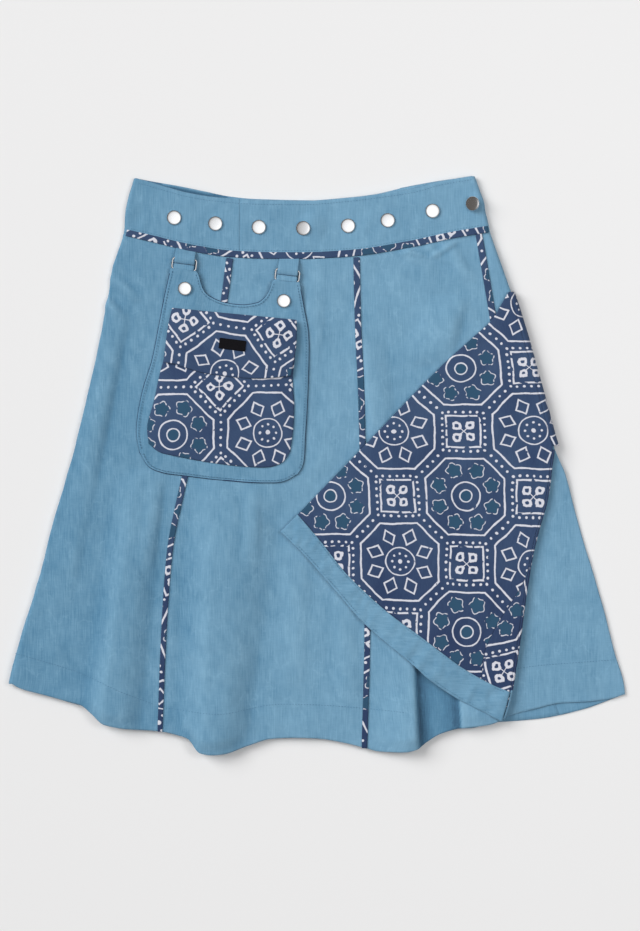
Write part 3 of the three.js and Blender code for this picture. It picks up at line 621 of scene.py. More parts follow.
def sheet(node, middle, faces, cloth, held, rests_on, thickness=CLOTH, **looks):
    """Cloth piece that stands for a node. It works out the size that it was cut to, its longest row, its
    longest column and its area, but keeps none of them. Its slot goes with its first finish."""
    piece = sewn(shell(f"{node}_cloth", middle, thickness, faces, cloth, **looks), node)
    rows = np.linalg.norm(np.diff(middle, axis=1), axis=2).sum(1).max()
    columns = np.linalg.norm(np.diff(middle, axis=0), axis=2).sum(0).max()
    diagonals = middle[1:, 1:] - middle[:-1, :-1], middle[1:, :-1] - middle[:-1, 1:]
    area = np.linalg.norm(np.cross(*diagonals), axis=2).sum() / 2
    flat = (max(rows, LEAST_SHEET) * MM, max(columns, LEAST_SHEET) * MM)
    area = max(min(area * MM * MM, flat[0] * flat[1]), LEAST_SHARE * flat[0] * flat[1])
    return piece


# The least length that a sheet may state, and the least share of its length times its width that is cloth
LEAST_SHEET = 10
LEAST_SHARE = 0.3
# Painted shade on the back gores' canvas: their inner facing, seen under the front hem, is painted darker for
# the hem's shadow
PAINTED_HEM_SHADE = -0.25
BACK_ROWS = 110
FACING_ROWS = 12
back_a = seam(BACK_SEAM_A, back_hem)
back_b = seam(BACK_SEAM_B, back_hem)
back_c = seam(BACK_SEAM_C, back_hem)
for node, left, right in (("gore_back_left", back_a, back_b), ("gore_back_right", back_b, back_c)):
    u, v = tape_columns(left, right, BACK_ROWS, 40)
    top = across(waist, left(0)[0], right(0)[0])
    foot = across(back_hem, left(1)[0], right(1)[0])
    middle = raised(between(top, foot, left, right, u, v), back_at)
    sheet(
        node, middle, TWO_SIDED, unrolled(middle), "laid", ["floor"],
        tape=(0, -1), facing=(0, FACING_ROWS // 2), wear=PAINTED_HEM_SHADE,
    )

# Inner gores. Under the outer front lies the other end of the wrap: a gore that comes round the right
# side from the back, and the gore that ends out of sight near the left side. Same canvas and print.
INNER_HEM = [
    (-215, -238), (-120, -257), (0, -266), (83, -265), (151, -264), (192, -251.5), (221, -244),
    (244, -239), (267, -238), (293, -235), (309, -230),
]
RIGHT_SPINE = [
    (289, 154.5), (272, 160.5), (257, 164), (247, 167), (236, 169.5), (212, 177), (185, 187),
    (161, 195.5), (137, 203), (113, 210), (89, 216.5), (65, 223), (41, 229.5), (19, 235.5),
    (4, 241.5), (-7, 246.5), (-43, 256.5), (-79, 266.5), (-115, 277.5), (-151, 287.5),
    (-187, 296.5), (-223, 307), (-230, 307.5),
]
INNER_SEAM = [(231, 135), (-264, 151)]
INNER_END = [(222, -150), (-238, -215)]
RIGHT_WAIST_Y = 235
RIGHT_HEM_Y = -230
inner_hem = graph(INNER_HEM)
right_spine = graph(RIGHT_SPINE)


def turn(start, end, outward, steps=9):
    """Half circle that carries the end of each row round to the start of the next: its centre lies between
    them, its radius is half their distance in height, and it bulges in x."""
    angle = (np.pi * np.arange(1, steps) / steps)[None, :]
    centre = (start + end) / 2
    half = ((start[:, 2] - end[:, 2]) / 2)[:, None]
    return np.stack([
        centre[:, :1] + np.abs(half) * np.sin(angle) * outward,
        centre[:, 1:2] + 0 * angle,
        centre[:, 2:3] + half * np.cos(angle),
    ], -1)


def wrapped(first, second, outward):
    """Two stacks of rows as one sheet that turns over between them."""
    return np.concatenate([first, turn(first[:, -1], second[:, 0], outward), second], 1)


def on_floor(thickness):
    """Height of the middle of a layer that lies flat on the floor."""
    return lambda x, y: thickness / 2 + 0 * x


def patch(top, bottom, left, right, columns, rows, height):
    """Sheet between four free edges, as many columns by rows as given."""
    u = np.linspace(0, 1, columns + 1)
    return raised(between(top, bottom, left, right, u, np.linspace(0, 1, rows + 1)), height)


def gore(left, right, top, hem, height, columns, rows):
    """Panel between two edges that run down the skirt, from an upper edge to a hem."""
    upper = across(top, left(0)[0], right(0)[0])
    return patch(upper, across(hem, left(1)[0], right(1)[0]), left, right, columns, rows, height)


def drift(x, y, size, height, seed):
    """Slow unevenness of cloth that was smoothed by hand: the sum of waves in five directions."""
    total = 0
    for k in range(5):
        angle = seed + 2.4 * k
        length = size * (0.6 + 0.25 * k)
        total = total + np.sin((x * np.cos(angle) + y * np.sin(angle)) * 2 * np.pi / length + seed * k * 1.7)
    return height * total / 3


def crumple(x, y, size, height, seed, lean=0.5):
    """Small soft wrinkles: seeded random values at the knots of a slanted grid, joined by smooth steps, at
    three sizes. The wrinkles are longer than they are wide and lean by the angle given."""
    total = 0
    for octave, share in enumerate((1.0, 0.5, 0.22)):
        angle = lean + 0.35 * octave
        wide = size / 2**octave
        u = (x * math.cos(angle) + y * math.sin(angle)) / wide + 200
        v = (y * math.cos(angle) - x * math.sin(angle)) / (wide * 2.1) + 200
        knots = np.random.default_rng(seed + octave).uniform(-1, 1, (512, 512))
        i, j = np.floor(u).astype(int), np.floor(v).astype(int)
        a, b = ease(u - i), ease(v - j)
        i, j = i % 511, j % 511
        low = knots[i, j] * (1 - a) + knots[i + 1, j] * a
        high = knots[i, j + 1] * (1 - a) + knots[i + 1, j + 1] * a
        total = total + share * (low * (1 - b) + high * b)
    return height * total


def inner_at(x, y):
    """Height of the middle of the inner front, with its own slow unevenness and small wrinkles."""
    uneven = drift(x, y, 60, 0.3, 1.3) + crumple(x, y, 15, 0.3, 61)
    return PITCH + back_at(x, y) + uneven * ease((215 - y) / 60)


right_side = down(right_spine, RIGHT_WAIST_Y, RIGHT_HEM_Y)
inner_side = seam(INNER_SEAM, inner_hem)
BACK_COLUMNS = 26
side_gore = wrapped(
    gore(back_c, right_side, waist, back_hem, back_at, BACK_COLUMNS, 190),
    gore(right_side, inner_side, waist, inner_hem, inner_at, 70, 190),
    1,
)
# The back part of the side gore takes the same painted hem shade
side_wear = np.where(np.arange(side_gore.shape[1]) < BACK_COLUMNS, PAINTED_HEM_SHADE, 0.0)
sheet(
    "gore_side", side_gore, TWO_SIDED, unrolled(side_gore, -1), "folded", ["floor", "gore_back_right_cloth"],
    facing=(0, FACING_ROWS - 2), wear=side_wear,
)
inner_gore = gore(inner_side, seam(INNER_END, inner_hem), waist, inner_hem, inner_at, 60, 60)
sheet(
    "gore_inner", inner_gore, TWO_SIDED, unrolled(inner_gore), "laid",
    ["gore_back_left_cloth", "gore_back_right_cloth"], facing=(0, FACING_ROWS // 4),
)

# Front gores. Three flared panels of the outer wrap, canvas side up. They lie close at the waist and
# stand in soft flutes towards the hem; the left one turns round the left side to the back.
FRONT_HEM = [
    (-309, -220), (-297, -227), (-273, -233), (-249, -239), (-237, -242), (-225, -251), (-213, -261),
    (-189, -265), (-157, -266.5), (-141, -270), (-129, -274), (-117, -288), (-105, -290), (-93, -289),
    (-69, -281), (-45, -274), (-21, -273), (3, -274), (27, -278), (47.5, -283), (63, -287), (87, -288),
    (99, -286), (111, -278), (123, -271), (142, -266), (171, -263), (189, -257.5),
]
LEFT_FOLD = [
    (288, -183), (281, -185), (266, -189.4), (251, -192.2), (233, -193.8), (197, -205), (173, -209),
    (125, -217), (77, -228), (29, -239), (-19, -253), (-67, -267), (-115, -279), (-163, -294),
    (-211, -307), (-220, -309),
]
SEAM_1 = [
    (207, -87.3), (163, -93.2), (75, -113), (-12.6, -132.5), (-90, -147.6), (-180, -153.7), (-266, -157),
]
SEAM_2 = [(207, 39.6), (143, 41), (71, 44.3), (21, 45.5), (-161.5, 50.3), (-282, 47.5)]
SEAM_3 = [(233, 161.5), (195, 168), (147, 176), (22, 196), (-104, 211)]
SEAM_3_TOP = SEAM_3[0][0]
FLAP_FOLD = [
    (19, 235.5), (-35, 228), (-70, 218), (-104, 211), (-157.5, 203), (-180.5, 199.8),
    (-225, 193), (-249, 187), (-256, 184),
]
LEFT_WAIST_Y = 232
LEFT_HEM_Y = -219
FLAP_HEM_Y = -256
JUNCTION_Y = -104
LOFT_START = 120
LOFT_END = -250
LOFT_HEIGHT = 3
HEM_PRESSED = 0.4
HEM_RUN = 16

# Flutes of the hem and smaller ridges of the outer front: start and end of the crest, reach to its left,
# reach to its right at the start and end, height, and growth along it, where 0 means that it dies away
FLUTES = [
    (-177, -6, -214, -258, 26, 30, 40, 9, 0.4),
    (-101, -15, -111, -289, 34, 72, 42, 12, 0.35),
    (90, -140, 97, -288, 48, 9, 9, 12, 1.0),
    (141, -196, 146, -262, 3, 50, 50, 5, 0.5),
]
RIDGES = [
    (-197, 165, -238, -45, 20, 15, 15, 3.6, 0),
    (-236, -20, -262, -150, 26, 18, 18, 1.8, 0),
    (-160, -10, -172, -110, 12, 10, 10, 1.6, 0),
    (-66, -20, -66, -105, 12, 12, 12, 2.0, 0),
    (44, 140, 60, 10, 8, 26, 26, 3.0, 0),
    (68, 230, 100, 200, 9, 11, 11, 2.0, 0),
    (94, 233, 130, 200, 8, 11, 11, 2.0, 0),
    (126, 226, 150, 184, 10, 12, 12, 2.0, 0),
    (72, 222, 108, 207, 9, 7, 7, 2.4, 0),
    (140, 226, 112, 206, 7, 9, 9, 2.2, 0),
    (136, 170, 118, 100, 40, 20, 20, 3.8, 0),
    (-208, 192, -178, 162, 12, 9, 9, 1.8, 0),
    (-218, 172, -196, 146, 10, 9, 9, 1.8, 0),
    (-2, 204, -14, 40, 16, 16, 16, 1.2, 0),
    (-20, -60, -30, -250, 22, 20, 20, 1.6, 0),
    (24, -100, 30, -260, 16, 18, 18, 1.5, 0),
]
# Painted shade inside the pleat between the third and fourth flutes: where it starts past the crest and how
# far it eases in, how dark it is, the wave of its darkness across and where that wave peaks, and where it
# starts at the top
PLEAT_START = 3
PLEAT_RUN = 3
PLEAT_PAINTED_SHADE = 0.9
PLEAT_WAVE = 42
PLEAT_MIDDLE_X = 99
PLEAT_TOP_Y = -150
WAIST_HELD = 3.8
# How far apart heights are compared for the painted light and shade of the outer front, and how strong it is
PAINTED_SHADING_STEP = 8
PAINTED_SHADING_SHARE = 0.16
front_hem = graph(FRONT_HEM)
left_fold = graph(LEFT_FOLD)
flap_fold = graph(FLAP_FOLD)
seam_3 = graph(SEAM_3)


def loft(y):
    """How much the outer front rises towards its hem."""
    return LOFT_HEIGHT * ease((LOFT_START - y) / (LOFT_START - LOFT_END))


def front_flat_at(x, y):
    """Height of the middle of the outer front before its flutes and creases."""
    return 2 * PITCH + back_at(x, y) + loft(y)


def ridges(x, y, table):
    """Ridges: to the left of a crest the height falls as a squared cosine, and to its right as a smooth step
    that is steepest past its middle. Along it the height grows as a power of the way, or is a sine where it
    dies away."""
    height = 0
    for start_x, start_y, end_x, end_y, left, right_start, right_end, tall, growth in table:
        run = np.clip((start_y - y) / (start_y - end_y), 0, 1)
        off = x - start_x - (end_x - start_x) * run
        before = np.cos(np.pi * np.clip(-off / left, 0, 1) / 2) ** 2
        after = 1 - ease(np.clip(off / (right_start + (right_end - right_start) * run), 0, 1) ** 1.6)
        along_crest = run**growth if growth else np.sin(np.pi * run) ** 0.8
        height = height + tall * along_crest * before * after
    return height


def front_at(x, y):
    """Height of the middle of the outer front, with its folds and wrinkles, which end at the waist."""
    pressed = 1 - HEM_PRESSED * ease((front_hem(x) + HEM_RUN - y) / HEM_RUN)
    below_waist = ease((waist(x) - WAIST_HELD - y) / WAIST_HELD)
    folds = ridges(x, y, FLUTES) * pressed + ridges(x, y, RIDGES) * below_waist
    return front_flat_at(x, y) + folds + drift(x, y, 55, 0.3, 0.7) + crumple(x, y, 16, 0.62, 7) * below_waist


def front_wear(middle):
    """Painted light and shade of the outer front: ridges are painted paler and hollows darker, by the height
    of each place over the mean of the two beside it, and the inside of the pleat at the corner gets the
    deepest painted shade, where the flute beside it shades it."""
    x, y = middle[..., 0], middle[..., 1]
    above = front_at(x, y) - (front_at(x - PAINTED_SHADING_STEP, y) + front_at(x + PAINTED_SHADING_STEP, y)) / 2
    near, far = (
        start_x + (end_x - start_x) * (start_y - y) / (start_y - end_y)
        for start_x, start_y, end_x, end_y, *_ in FLUTES[2:]
    )
    inside = ease((x - near - PLEAT_START) / PLEAT_RUN) * (1 - ease((x - far + PLEAT_RUN) / PLEAT_RUN))
    pleat_shade = inside * ease((PLEAT_TOP_Y - y) / 30)
    uneven = PLEAT_PAINTED_SHADE + 0.35 * np.cos((x - PLEAT_MIDDLE_X) / PLEAT_WAVE * 2 * np.pi) * pleat_shade
    return PAINTED_SHADING_SHARE * np.clip(above, -1.5, 1.5) - uneven * pleat_shade


def left_spine(y):
    """Where the outer front starts its half turn, so that the turn reaches the left outline."""
    return left_fold(y) + (2 * PITCH + loft(y)) / 2 + CLOTH / 2


seam_1_side = seam(SEAM_1, front_hem)
seam_2_side = seam(SEAM_2, front_hem)
left_side = down(left_spine, LEFT_WAIST_Y, LEFT_HEM_Y)


def right_gore_side(t):
    """Right edge of the right gore: its seam above the place where the flap folds, the fold below it."""
    y = SEAM_3_TOP + (FLAP_HEM_Y - SEAM_3_TOP) * np.asarray(t, float)
    return np.stack([np.where(y > JUNCTION_Y, seam_3(y), flap_fold(y)), y], -1)


FRONT_ROWS = 230
left_gore = wrapped(
    gore(seam_1_side, left_side, waist, front_hem, front_at, 74, FRONT_ROWS),
    gore(left_side, back_a, waist, back_hem, back_at, 24, FRONT_ROWS),
    -1,
)
centre_gore = gore(seam_2_side, seam_1_side, waist, front_hem, front_at, 92, FRONT_ROWS)
right_gore = gore(right_gore_side, seam_2_side, waist, front_hem, front_at, 74, FRONT_ROWS)
# The outer front's canvas carries painted light on its ridges and painted shade in its hollows and its pleat
for node, middle, held, rests_on in (
    ("gore_left", left_gore, "folded", ["floor", "gore_inner_cloth"]),
    ("gore_centre", centre_gore, "laid", ["gore_inner_cloth"]),
    ("gore_right", right_gore, "laid", ["gore_inner_cloth", "gore_side_cloth"]),
):
    sheet(
        node, middle, TWO_SIDED, unrolled(middle), held, rests_on,
        facing=(0, FACING_ROWS), wear=front_wear(middle),
    )

# End gore. The last panel of the wrap, canvas side out: a strip beside the right seam, round the right
# side, and the wrap end that lies under everything at the back.
JUNCTION_GAP = 8
TURN_GAP = 0.6


def through(points):
    """Smooth edge through points: a Catmull-Rom curve with centripetal steps, at even distances."""
    points = np.array(points, float)
    ends = [2 * points[0] - points[1], *points, 2 * points[-1] - points[-2]]
    pieces = []
    for p0, p1, p2, p3 in zip(ends, ends[1:], ends[2:], ends[3:]):
        d0, d1, d2 = (math.sqrt(np.linalg.norm(b - a)) for a, b in ((p0, p1), (p1, p2), (p2, p3)))
        out = ((p1 - p0) / d0 - (p2 - p0) / (d0 + d1) + (p2 - p1) / d1) * d1
        into = ((p2 - p1) / d1 - (p3 - p1) / (d1 + d2) + (p3 - p2) / d2) * d1
        pieces.append(cubic(np.linspace(0, 1, 33)[:-1, None], p1, out, p2, into))
    line = np.concatenate([*pieces, points[-1:]])
    run = distances(line)

    def edge(t):
        place = np.asarray(t, float) * run[-1]
        return np.stack([np.interp(place, run, line[:, 0]), np.interp(place, run, line[:, 1])], -1)

    return edge


def back(edge):
    """Edge that runs the other way."""
    return lambda t: edge(1 - np.asarray(t))


def end_back_at(x, y):
    """Height of the middle of the wrap end at the back."""
    return CLOTH / 2 + over_turned(x, y)


end_side = down(right_spine, RIGHT_WAIST_Y, FOLD_MEETING[1] + 6)
end_front = patch(
    across(waist, float(seam_3(SEAM_3_TOP)), float(right_spine(RIGHT_WAIST_Y))),
    down(flap_fold, JUNCTION_Y + JUNCTION_GAP, FOLD_MEETING[1] + 5),
    down(lambda y: seam_3(y) + TURN_GAP, SEAM_3_TOP, JUNCTION_Y + JUNCTION_GAP),
    end_side,
    20, 110, front_at,
)
end_back = patch(
    across(waist, float(right_spine(RIGHT_WAIST_Y)), WRAP_END_X),
    through([(233, 22), (229, 25)]),
    end_side,
    through([WRAP_CORNER, (229, 27)]),
    36, 110, end_back_at,
)
end_gore = wrapped(end_front, end_back, 1)[:, ::-1]
sheet("gore_end", end_gore, TWO_SIDED, unrolled(end_gore, -1), "folded", ["floor", "gore_side_cloth"])

# Turned corner. The lower corner of the end gore, with a corner of the right gore, is turned over to
# the front, print side up, and its upper part wraps on round the right side to the back.
FLAP_FREE_EDGE = [(-36, -67), (40, 11.5), (123, 97), (157, 128), (174.7, 144.5), (192, 173)]
FLAP_HEM = [
    (-36, -67), (-9, -94), (18, -125), (48, -159), (97.5, -201), (110.6, -213), (139.7, -233), (161, -244),
]
FLAP_HEM_END = [(161, -244), (181, -254.5), (184, -256)]
SEAM_3_MIRRORED = [
    (-104, 211), (-118, 206), (-145, 189), (-170, 175), (-190, 167), (-207, 165), (-244, 161),
]
FLAP_LIFT = 3.6

# Humps of the flap over what lies below it: x, y, reach and height
FLAP_HUMPS = [(92, -222, 75, 5), (60, 20, 90, 2)]
FLAP_RIDGES = [
    (196, 60, 120, -40, 16, 14, 14, 1.0, 0),
    (60, -20, 110, -120, 18, 14, 14, 1.0, 0),
    (186, -90, 150, -190, 14, 12, 12, 1.0, 0),
]

# Where each printed block landed on the flap, by its column and row, as x and y
BLOCKS = [
    (0, 2, 14.7, -31.8), (2, 2, 149.3, -30.4), (2, 0, 149.6, -167.5), (2, 4, 142.5, 94),
    (1, 1, 84.3, -94.5), (3, 1, 215.7, -100.5), (3, 3, 217.4, 35), (1, 3, 74.3, 32.4),
    (2, 1, 149.8, -99), (1, 2, 80, -30.4), (2, 3, 146.9, 34.3), (3, 5, 207, 161),
]
BLOCK_REACH = 42
PRINT_SHIFT = np.array([-15, 165])
EVEN_PRINT = 0.05


def flap_at(x, y):
    """Height of the middle of the flap."""
    height = front_flat_at(x, y) + FLAP_LIFT
    for hump_x, hump_y, reach, tall in FLAP_HUMPS:
        height = height + tall * ease(1 - np.hypot(x - hump_x, y - hump_y) / reach)
    return height + ridges(x, y, FLAP_RIDGES) + drift(x, y, 60, 0.25, 2.1) + crumple(x, y, 16, 0.25, 23)


def flap_print(points):
    """Cloth coordinates of the flap: an even grid of blocks, drawn to where each block landed by weights
    that fall off as a bell around it."""
    x, y = points[..., 0], points[..., 1]
    pull = np.zeros(x.shape + (2,))
    weight = np.full(x.shape, EVEN_PRINT)
    for column, row, at_x, at_y in BLOCKS:
        near = np.exp(-((x - at_x) ** 2 + (y - at_y) ** 2) / (2 * BLOCK_REACH**2))
        pull += near[..., None] * (np.array([column, row]) * CELL - [at_x, at_y] - PRINT_SHIFT)
        weight = weight + near
    return points[..., :2] + PRINT_SHIFT + pull / weight[..., None]


def flap_side(t):
    """Right edge of the flap: the right side above the place where its fold starts, the fold below it."""
    y = FLAP_TOP[1] + (JUNCTION_Y - FLAP_TOP[1]) * np.asarray(t, float)
    return np.stack([np.where(y > FOLD_MEETING[1], right_spine(y), flap_fold(y)), y], -1)


seam_3_mirrored = graph(SEAM_3_MIRRORED)
mirrored_side = down(seam_3_mirrored, JUNCTION_Y, -244)
flap = patch(
    through(FLAP_FREE_EDGE), back(mirrored_side), through(FLAP_HEM), flap_side, 130, 120, flap_at,
)[:, ::-1]
sheet(
    "flap_end_gore", flap, TURNED_OVER, flap_print(flap), "folded",
    ["gore_centre_cloth", "gore_right_cloth"],
)

CORNER_PRINT_TURN = math.radians(12)
CORNER_BLOCK = (172.8, -140.5)
CORNER_FACING = 16


def laid_print(points, centre, angle, kind=0):
    """Cloth coordinates of a piece cut from the print with one octagon's centre at a place, at an angle.
    Kind 0 puts a flower octagon there and kind 1 an octagon with lozenges."""
    off_x, off_y = points[..., 0] - centre[0], points[..., 1] - centre[1]
    return np.stack([
        off_x * math.cos(angle) + off_y * math.sin(angle) + kind * CELL,
        off_y * math.cos(angle) - off_x * math.sin(angle) + kind * CELL,
    ], -1)


corner = patch(
    across(lambda x: JUNCTION_Y, 209, 211), through(FLAP_HEM_END), mirrored_side,
    down(flap_fold, JUNCTION_Y, FLAP_HEM_Y), 20, 90, flap_at,
)[:, ::-1]
sheet(
    "flap_right_gore", corner, TURNED_OVER, laid_print(corner, CORNER_BLOCK, CORNER_PRINT_TURN), "folded",
    ["gore_right_cloth"], facing=(CORNER_FACING, 0),
)

turn_end = patch(
    through([FLAP_TOP, TURNED_TIP]), through([(234.5, 20), (229, 24)]),
    down(right_spine, FLAP_TOP[1], FOLD_MEETING[1]), through([TURNED_TIP, (229, 25)]),
    30, 70, on_floor(CLOTH),
)
turn_start = turn_end[:, :1].copy()
turn_start[..., 2] = flap_at(turn_start[..., 0], turn_start[..., 1])
side_turn = wrapped(turn_start, turn_end, 1)
side_turn[..., 0] += TURN_GAP
turn_run = unrolled(np.concatenate([turn_start + [-TURN_GAP, 0, 0], side_turn], 1))[:, 1:]
turn_cloth = flap_print(turn_run)[:, ::-1]
sheet("flap_side_turn", side_turn[:, ::-1], TURNED_OVER, turn_cloth, "folded", ["floor", "gore_side_cloth"])

roll_side = down(flap_fold, FOLD_MEETING[1] - 4, FLAP_HEM_Y + 2)(np.linspace(0, 1, 150))
roll_x, roll_y = roll_side[:, 0], roll_side[:, 1]
roll_top = np.stack([roll_x + TURN_GAP, roll_y, flap_at(roll_x, roll_y)], -1)
roll_foot = np.stack([roll_x + TURN_GAP, roll_y, front_at(roll_x, roll_y)], -1)
roll = wrapped(roll_top[:, None], roll_foot[:, None], 1)
roll_run = unrolled(roll)
corner_print = laid_print(roll_run, CORNER_BLOCK, CORNER_PRINT_TURN)
roll_cloth = np.where(roll_y[:, None, None] > JUNCTION_Y, flap_print(roll_run), corner_print)
sheet(
    "flap_fold_roll", roll[:, ::-1], TURNED_OVER, roll_cloth[:, ::-1], "folded", ["gore_side_cloth"],
    facing=(CORNER_FACING, 0),
)

# Hem facing. A band of the canvas, 25 mm wide, is sewn along the hem of the print side, so it shows on
# the turned corner, with a line of stitches along its inner edge.
TRIM = 1.0
TRIM_GAP = 0.4
# The facing's canvas is a little darker in tone
FACING_TONE_SHIFT = -0.1
FACING_OUTER = [(-36.5, -66.5), *FLAP_HEM[1:], FLAP_HEM_END[1], (184.8, -256.3)]
FACING_INNER = [
    (-19.5, -49.5), (4, -77), (29.5, -109), (69, -146), (104, -172), (129, -191), (147, -204),
    (176, -220), (192.9, -227),
]


def facing_at(x, y):
    """Height of the middle of the facing on the flap."""
    return flap_at(x, y) + CLOTH / 2 + TRIM_GAP + TRIM / 2


facing = patch(
    through([FACING_OUTER[0], FACING_INNER[0]]), through([FACING_OUTER[-1], FACING_INNER[-1]]),
    through(FACING_OUTER), through(FACING_INNER), 14, 150, facing_at,
)[:, ::-1]
facing[..., 2] += crumple(facing[..., 0], facing[..., 1], 9, 0.9, 17, 2.3)
sheet(
    "flap_hem_facing", facing, ALL_CANVAS, unrolled(facing)[..., ::-1], "laid",
    ["flap_end_gore_cloth", "flap_right_gore_cloth"], thickness=TRIM, wear=FACING_TONE_SHIFT,
)

THREAD_DARK = (58, 96, 128)
THREAD_LIGHT = (92, 134, 164)
thread = flecked_finish("cotton_thread", THREAD_DARK, THREAD_LIGHT, 0.5, 5, 0.8)
STITCH = 1.9
STITCH_STEP = 2.9
STITCH_POINTS = 5
THREAD_RADIUS = 0.21
SMALL_STEP = 0.004


def stitches(name, edge, height, start=0.0, end=1.0, thick=THREAD_RADIUS):
    """Row of stitches along an edge, at even steps: each is a round thread that rises out of the cloth as a
    half sine, made of as many rings as each ring has corners."""
    fine = edge(np.linspace(start, end, 600))
    run = distances(fine)
    count = int(run[-1] / STITCH_STEP)
    t = np.linspace(0, 1, STITCH_POINTS)
    place = (np.arange(count)[:, None] + 0.1) * STITCH_STEP + t * STITCH
    x, y = np.interp(place, run, fine[:, 0]), np.interp(place, run, fine[:, 1])
    rise = np.sin(np.pi * t)
    z = height(x, y) + thick * (1.5 * rise - 0.6)
    spine = np.stack([x, y, z], -1)
    along = unit(np.gradient(spine, axis=1))
    side = unit(np.cross(along, [0, 0, 1.0]))
    up = np.cross(side, along)
    angle = 2 * np.pi * np.arange(STITCH_POINTS) / STITCH_POINTS
    radius = (thick * (0.45 + 0.55 * rise))[None, :, None, None]
    ring = side[:, :, None] * np.cos(angle)[:, None] + up[:, :, None] * np.sin(angle)[:, None]
    points = (spine[:, :, None] + radius * ring).reshape(-1, 3)
    one = np.arange(STITCH_POINTS**2).reshape(STITCH_POINTS, STITCH_POINTS)
    following = np.roll(one, -1, 1)
    sides = np.stack([one[:-1], one[1:], following[1:], following[:-1]], -1).reshape(-1, 4)
    offsets = (np.arange(count) * one.size)[:, None, None]
    quads = (sides[None] + offsets).reshape(-1, 4)
    caps = np.concatenate([one[:1], one[-1:, ::-1]])[None] + offsets
    faces = quads.tolist() + caps.reshape(-1, STITCH_POINTS).tolist()
    made = meshed(name, points, faces, thread)
    charted(made.data, "cloth", np.repeat(np.stack([x, y], -1).reshape(-1, 2), STITCH_POINTS, axis=0))
    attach(made, "root")
    return made


def moved(edge, distance):
    """Edge at an even distance beside another, to the left of the way that it runs."""

    def beside(t):
        t = np.asarray(t, float)
        ahead = unit(edge(np.minimum(t + SMALL_STEP, 1)) - edge(np.maximum(t - SMALL_STEP, 0)))
        return edge(t) + distance * np.stack([-ahead[..., 1], ahead[..., 0]], -1)

    return beside


def on_top(height, thickness):
    """Height of the upper side of a layer."""
    return lambda x, y: height(x, y) + thickness / 2


facing_top = on_top(facing_at, TRIM)
stitches("facing_stitches_inner", moved(through(FACING_INNER), -1.6), facing_top, 0.01, 0.99)
stitches("facing_stitches_outer", moved(through(FACING_OUTER), 2.2), facing_top, 0.01, 0.99)

# Seam tapes. Strips of the print, about 6 mm wide, lie over the seams of the outer front. Each runs from
# the waist to the hem, or to the turned corner, and is cut at its own angle from the cloth.
TAPE_SHARES = np.linspace(-0.5, 0.5, 7)


def strip(edge, width, steps, height):
    """Strip along an edge: columns at even shares of its width, square to the way that it runs. The width
    goes evenly from the first to the second value."""
    t = np.linspace(0, 1, steps + 1)
    wide = width[0] + (width[1] - width[0]) * t
    return raised(np.stack([moved(edge, wide[:, None] * share)(t) for share in TAPE_SHARES], 1), height)


def seam_trim_at(x, y):
    """Height of the middle of a tape on the front."""
    return front_at(x, y) + CLOTH / 2 + TRIM_GAP + TRIM / 2


def shortened(edge, drop):
    """Edge without its first part."""
    return lambda t: edge(drop + (1 - drop) * np.asarray(t, float))


# Each tape: the seam it lies on and how much of it is left bare below the waist, its width at the waist and
# at its foot, its rows, the angle and the place it was cut at in the print, and the gores beside it
SEAM_TAPES = {
    "seam_trim_left": (seam_1_side, 0.01, (6.3, 4.2), 200, 0.35, 38, ("left", "centre")),
    "seam_trim_centre": (seam_2_side, 0.01, (5.7, 4.9), 200, 0.5, 51, ("centre", "right")),
    "seam_trim_right": (down(seam_3, SEAM_3_TOP, 60), 0.008, (6, 5.6), 80, 0.2, 34, ("right", "end")),
}
for node, (edge, bare, width, count, angle, shift, beside) in SEAM_TAPES.items():
    tape = strip(shortened(edge, bare), width, count, seam_trim_at)
    rests_on = [f"gore_{gore_name}_cloth" for gore_name in beside]
    sheet(node, tape, ALL_PRINT, laid_print(tape, (-shift, 0), angle), "laid", rests_on, thickness=TRIM)

# Waistband. Two lengths of doubled canvas, 50 mm high, meet at a seam in front. Printed piping, 6 mm
# wide, lies along the lower edge of the front, and lines of stitches hold its edges.
BAND_TOP = [
    (-181, 287), (-153, 279), (-127, 272), (-100, 268), (-60, 265), (-17, 264.5),
    (34, 268), (59, 271), (98, 277), (123, 284), (158, 290),
]
BACK_BAND_TOP = [
    (-179, 288), (-155, 283.3), (-137, 280), (-113, 275), (-87, 270), (-62, 267.5),
    (3, 266), (59, 272), (84, 277.6), (123, 285), (158, 290),
]
BACK_CURL = 5
# Painted shade on the inside of the band at the back, where its top shows above the front on the left
INSIDE_PAINTED_SHADE = -0.9
RIGHT_BAND_TOP_Y = 289
LEFT_BAND_TOP_Y = 287
BAND_SEAM_X = -77
LEFT_OF_SEAM = -84
WAIST_TRIM_WIDTH = 6

# Mounds of the band beside its fourth, seventh and last snaps, which tilt them: x, y, reach and height
BAND_MOUNDS = [(-4, 240, 17, 2.0), (107, 262, 17, 1.6), (161, 262, 13, 3)]
band_top = graph(BAND_TOP)
back_band_top = graph(BACK_BAND_TOP)


def band_front_at(x, y):
    """Height of the middle of the band in front, a little wrinkled."""
    uneven = drift(x, y, 45, 0.2, 4.4) + crumple(x, y, 12, 0.4, 91, -0.6)
    for mound_x, mound_y, reach, tall in BAND_MOUNDS:
        away = np.clip(np.hypot(x - mound_x, y - mound_y) / reach, 0, 1)
        uneven = uneven + tall * np.cos(away * np.pi / 2) ** 2
    return 2 * PITCH + BAND / 2 + over_wrap_end(x, y) + uneven


def band_back_at(x, y):
    """Height of the middle of the band at the back, whose top stands up where the front is lower."""
    share = (y - band_top(x) - 0.3) / np.maximum(back_band_top(x) - band_top(x), 1)
    curl = BACK_CURL * ease(share) * ease((x + 190) / 14) * ease((LEFT_OF_SEAM - x) / 30)
    return BAND / 2 + over_wrap_end(x, y) + curl


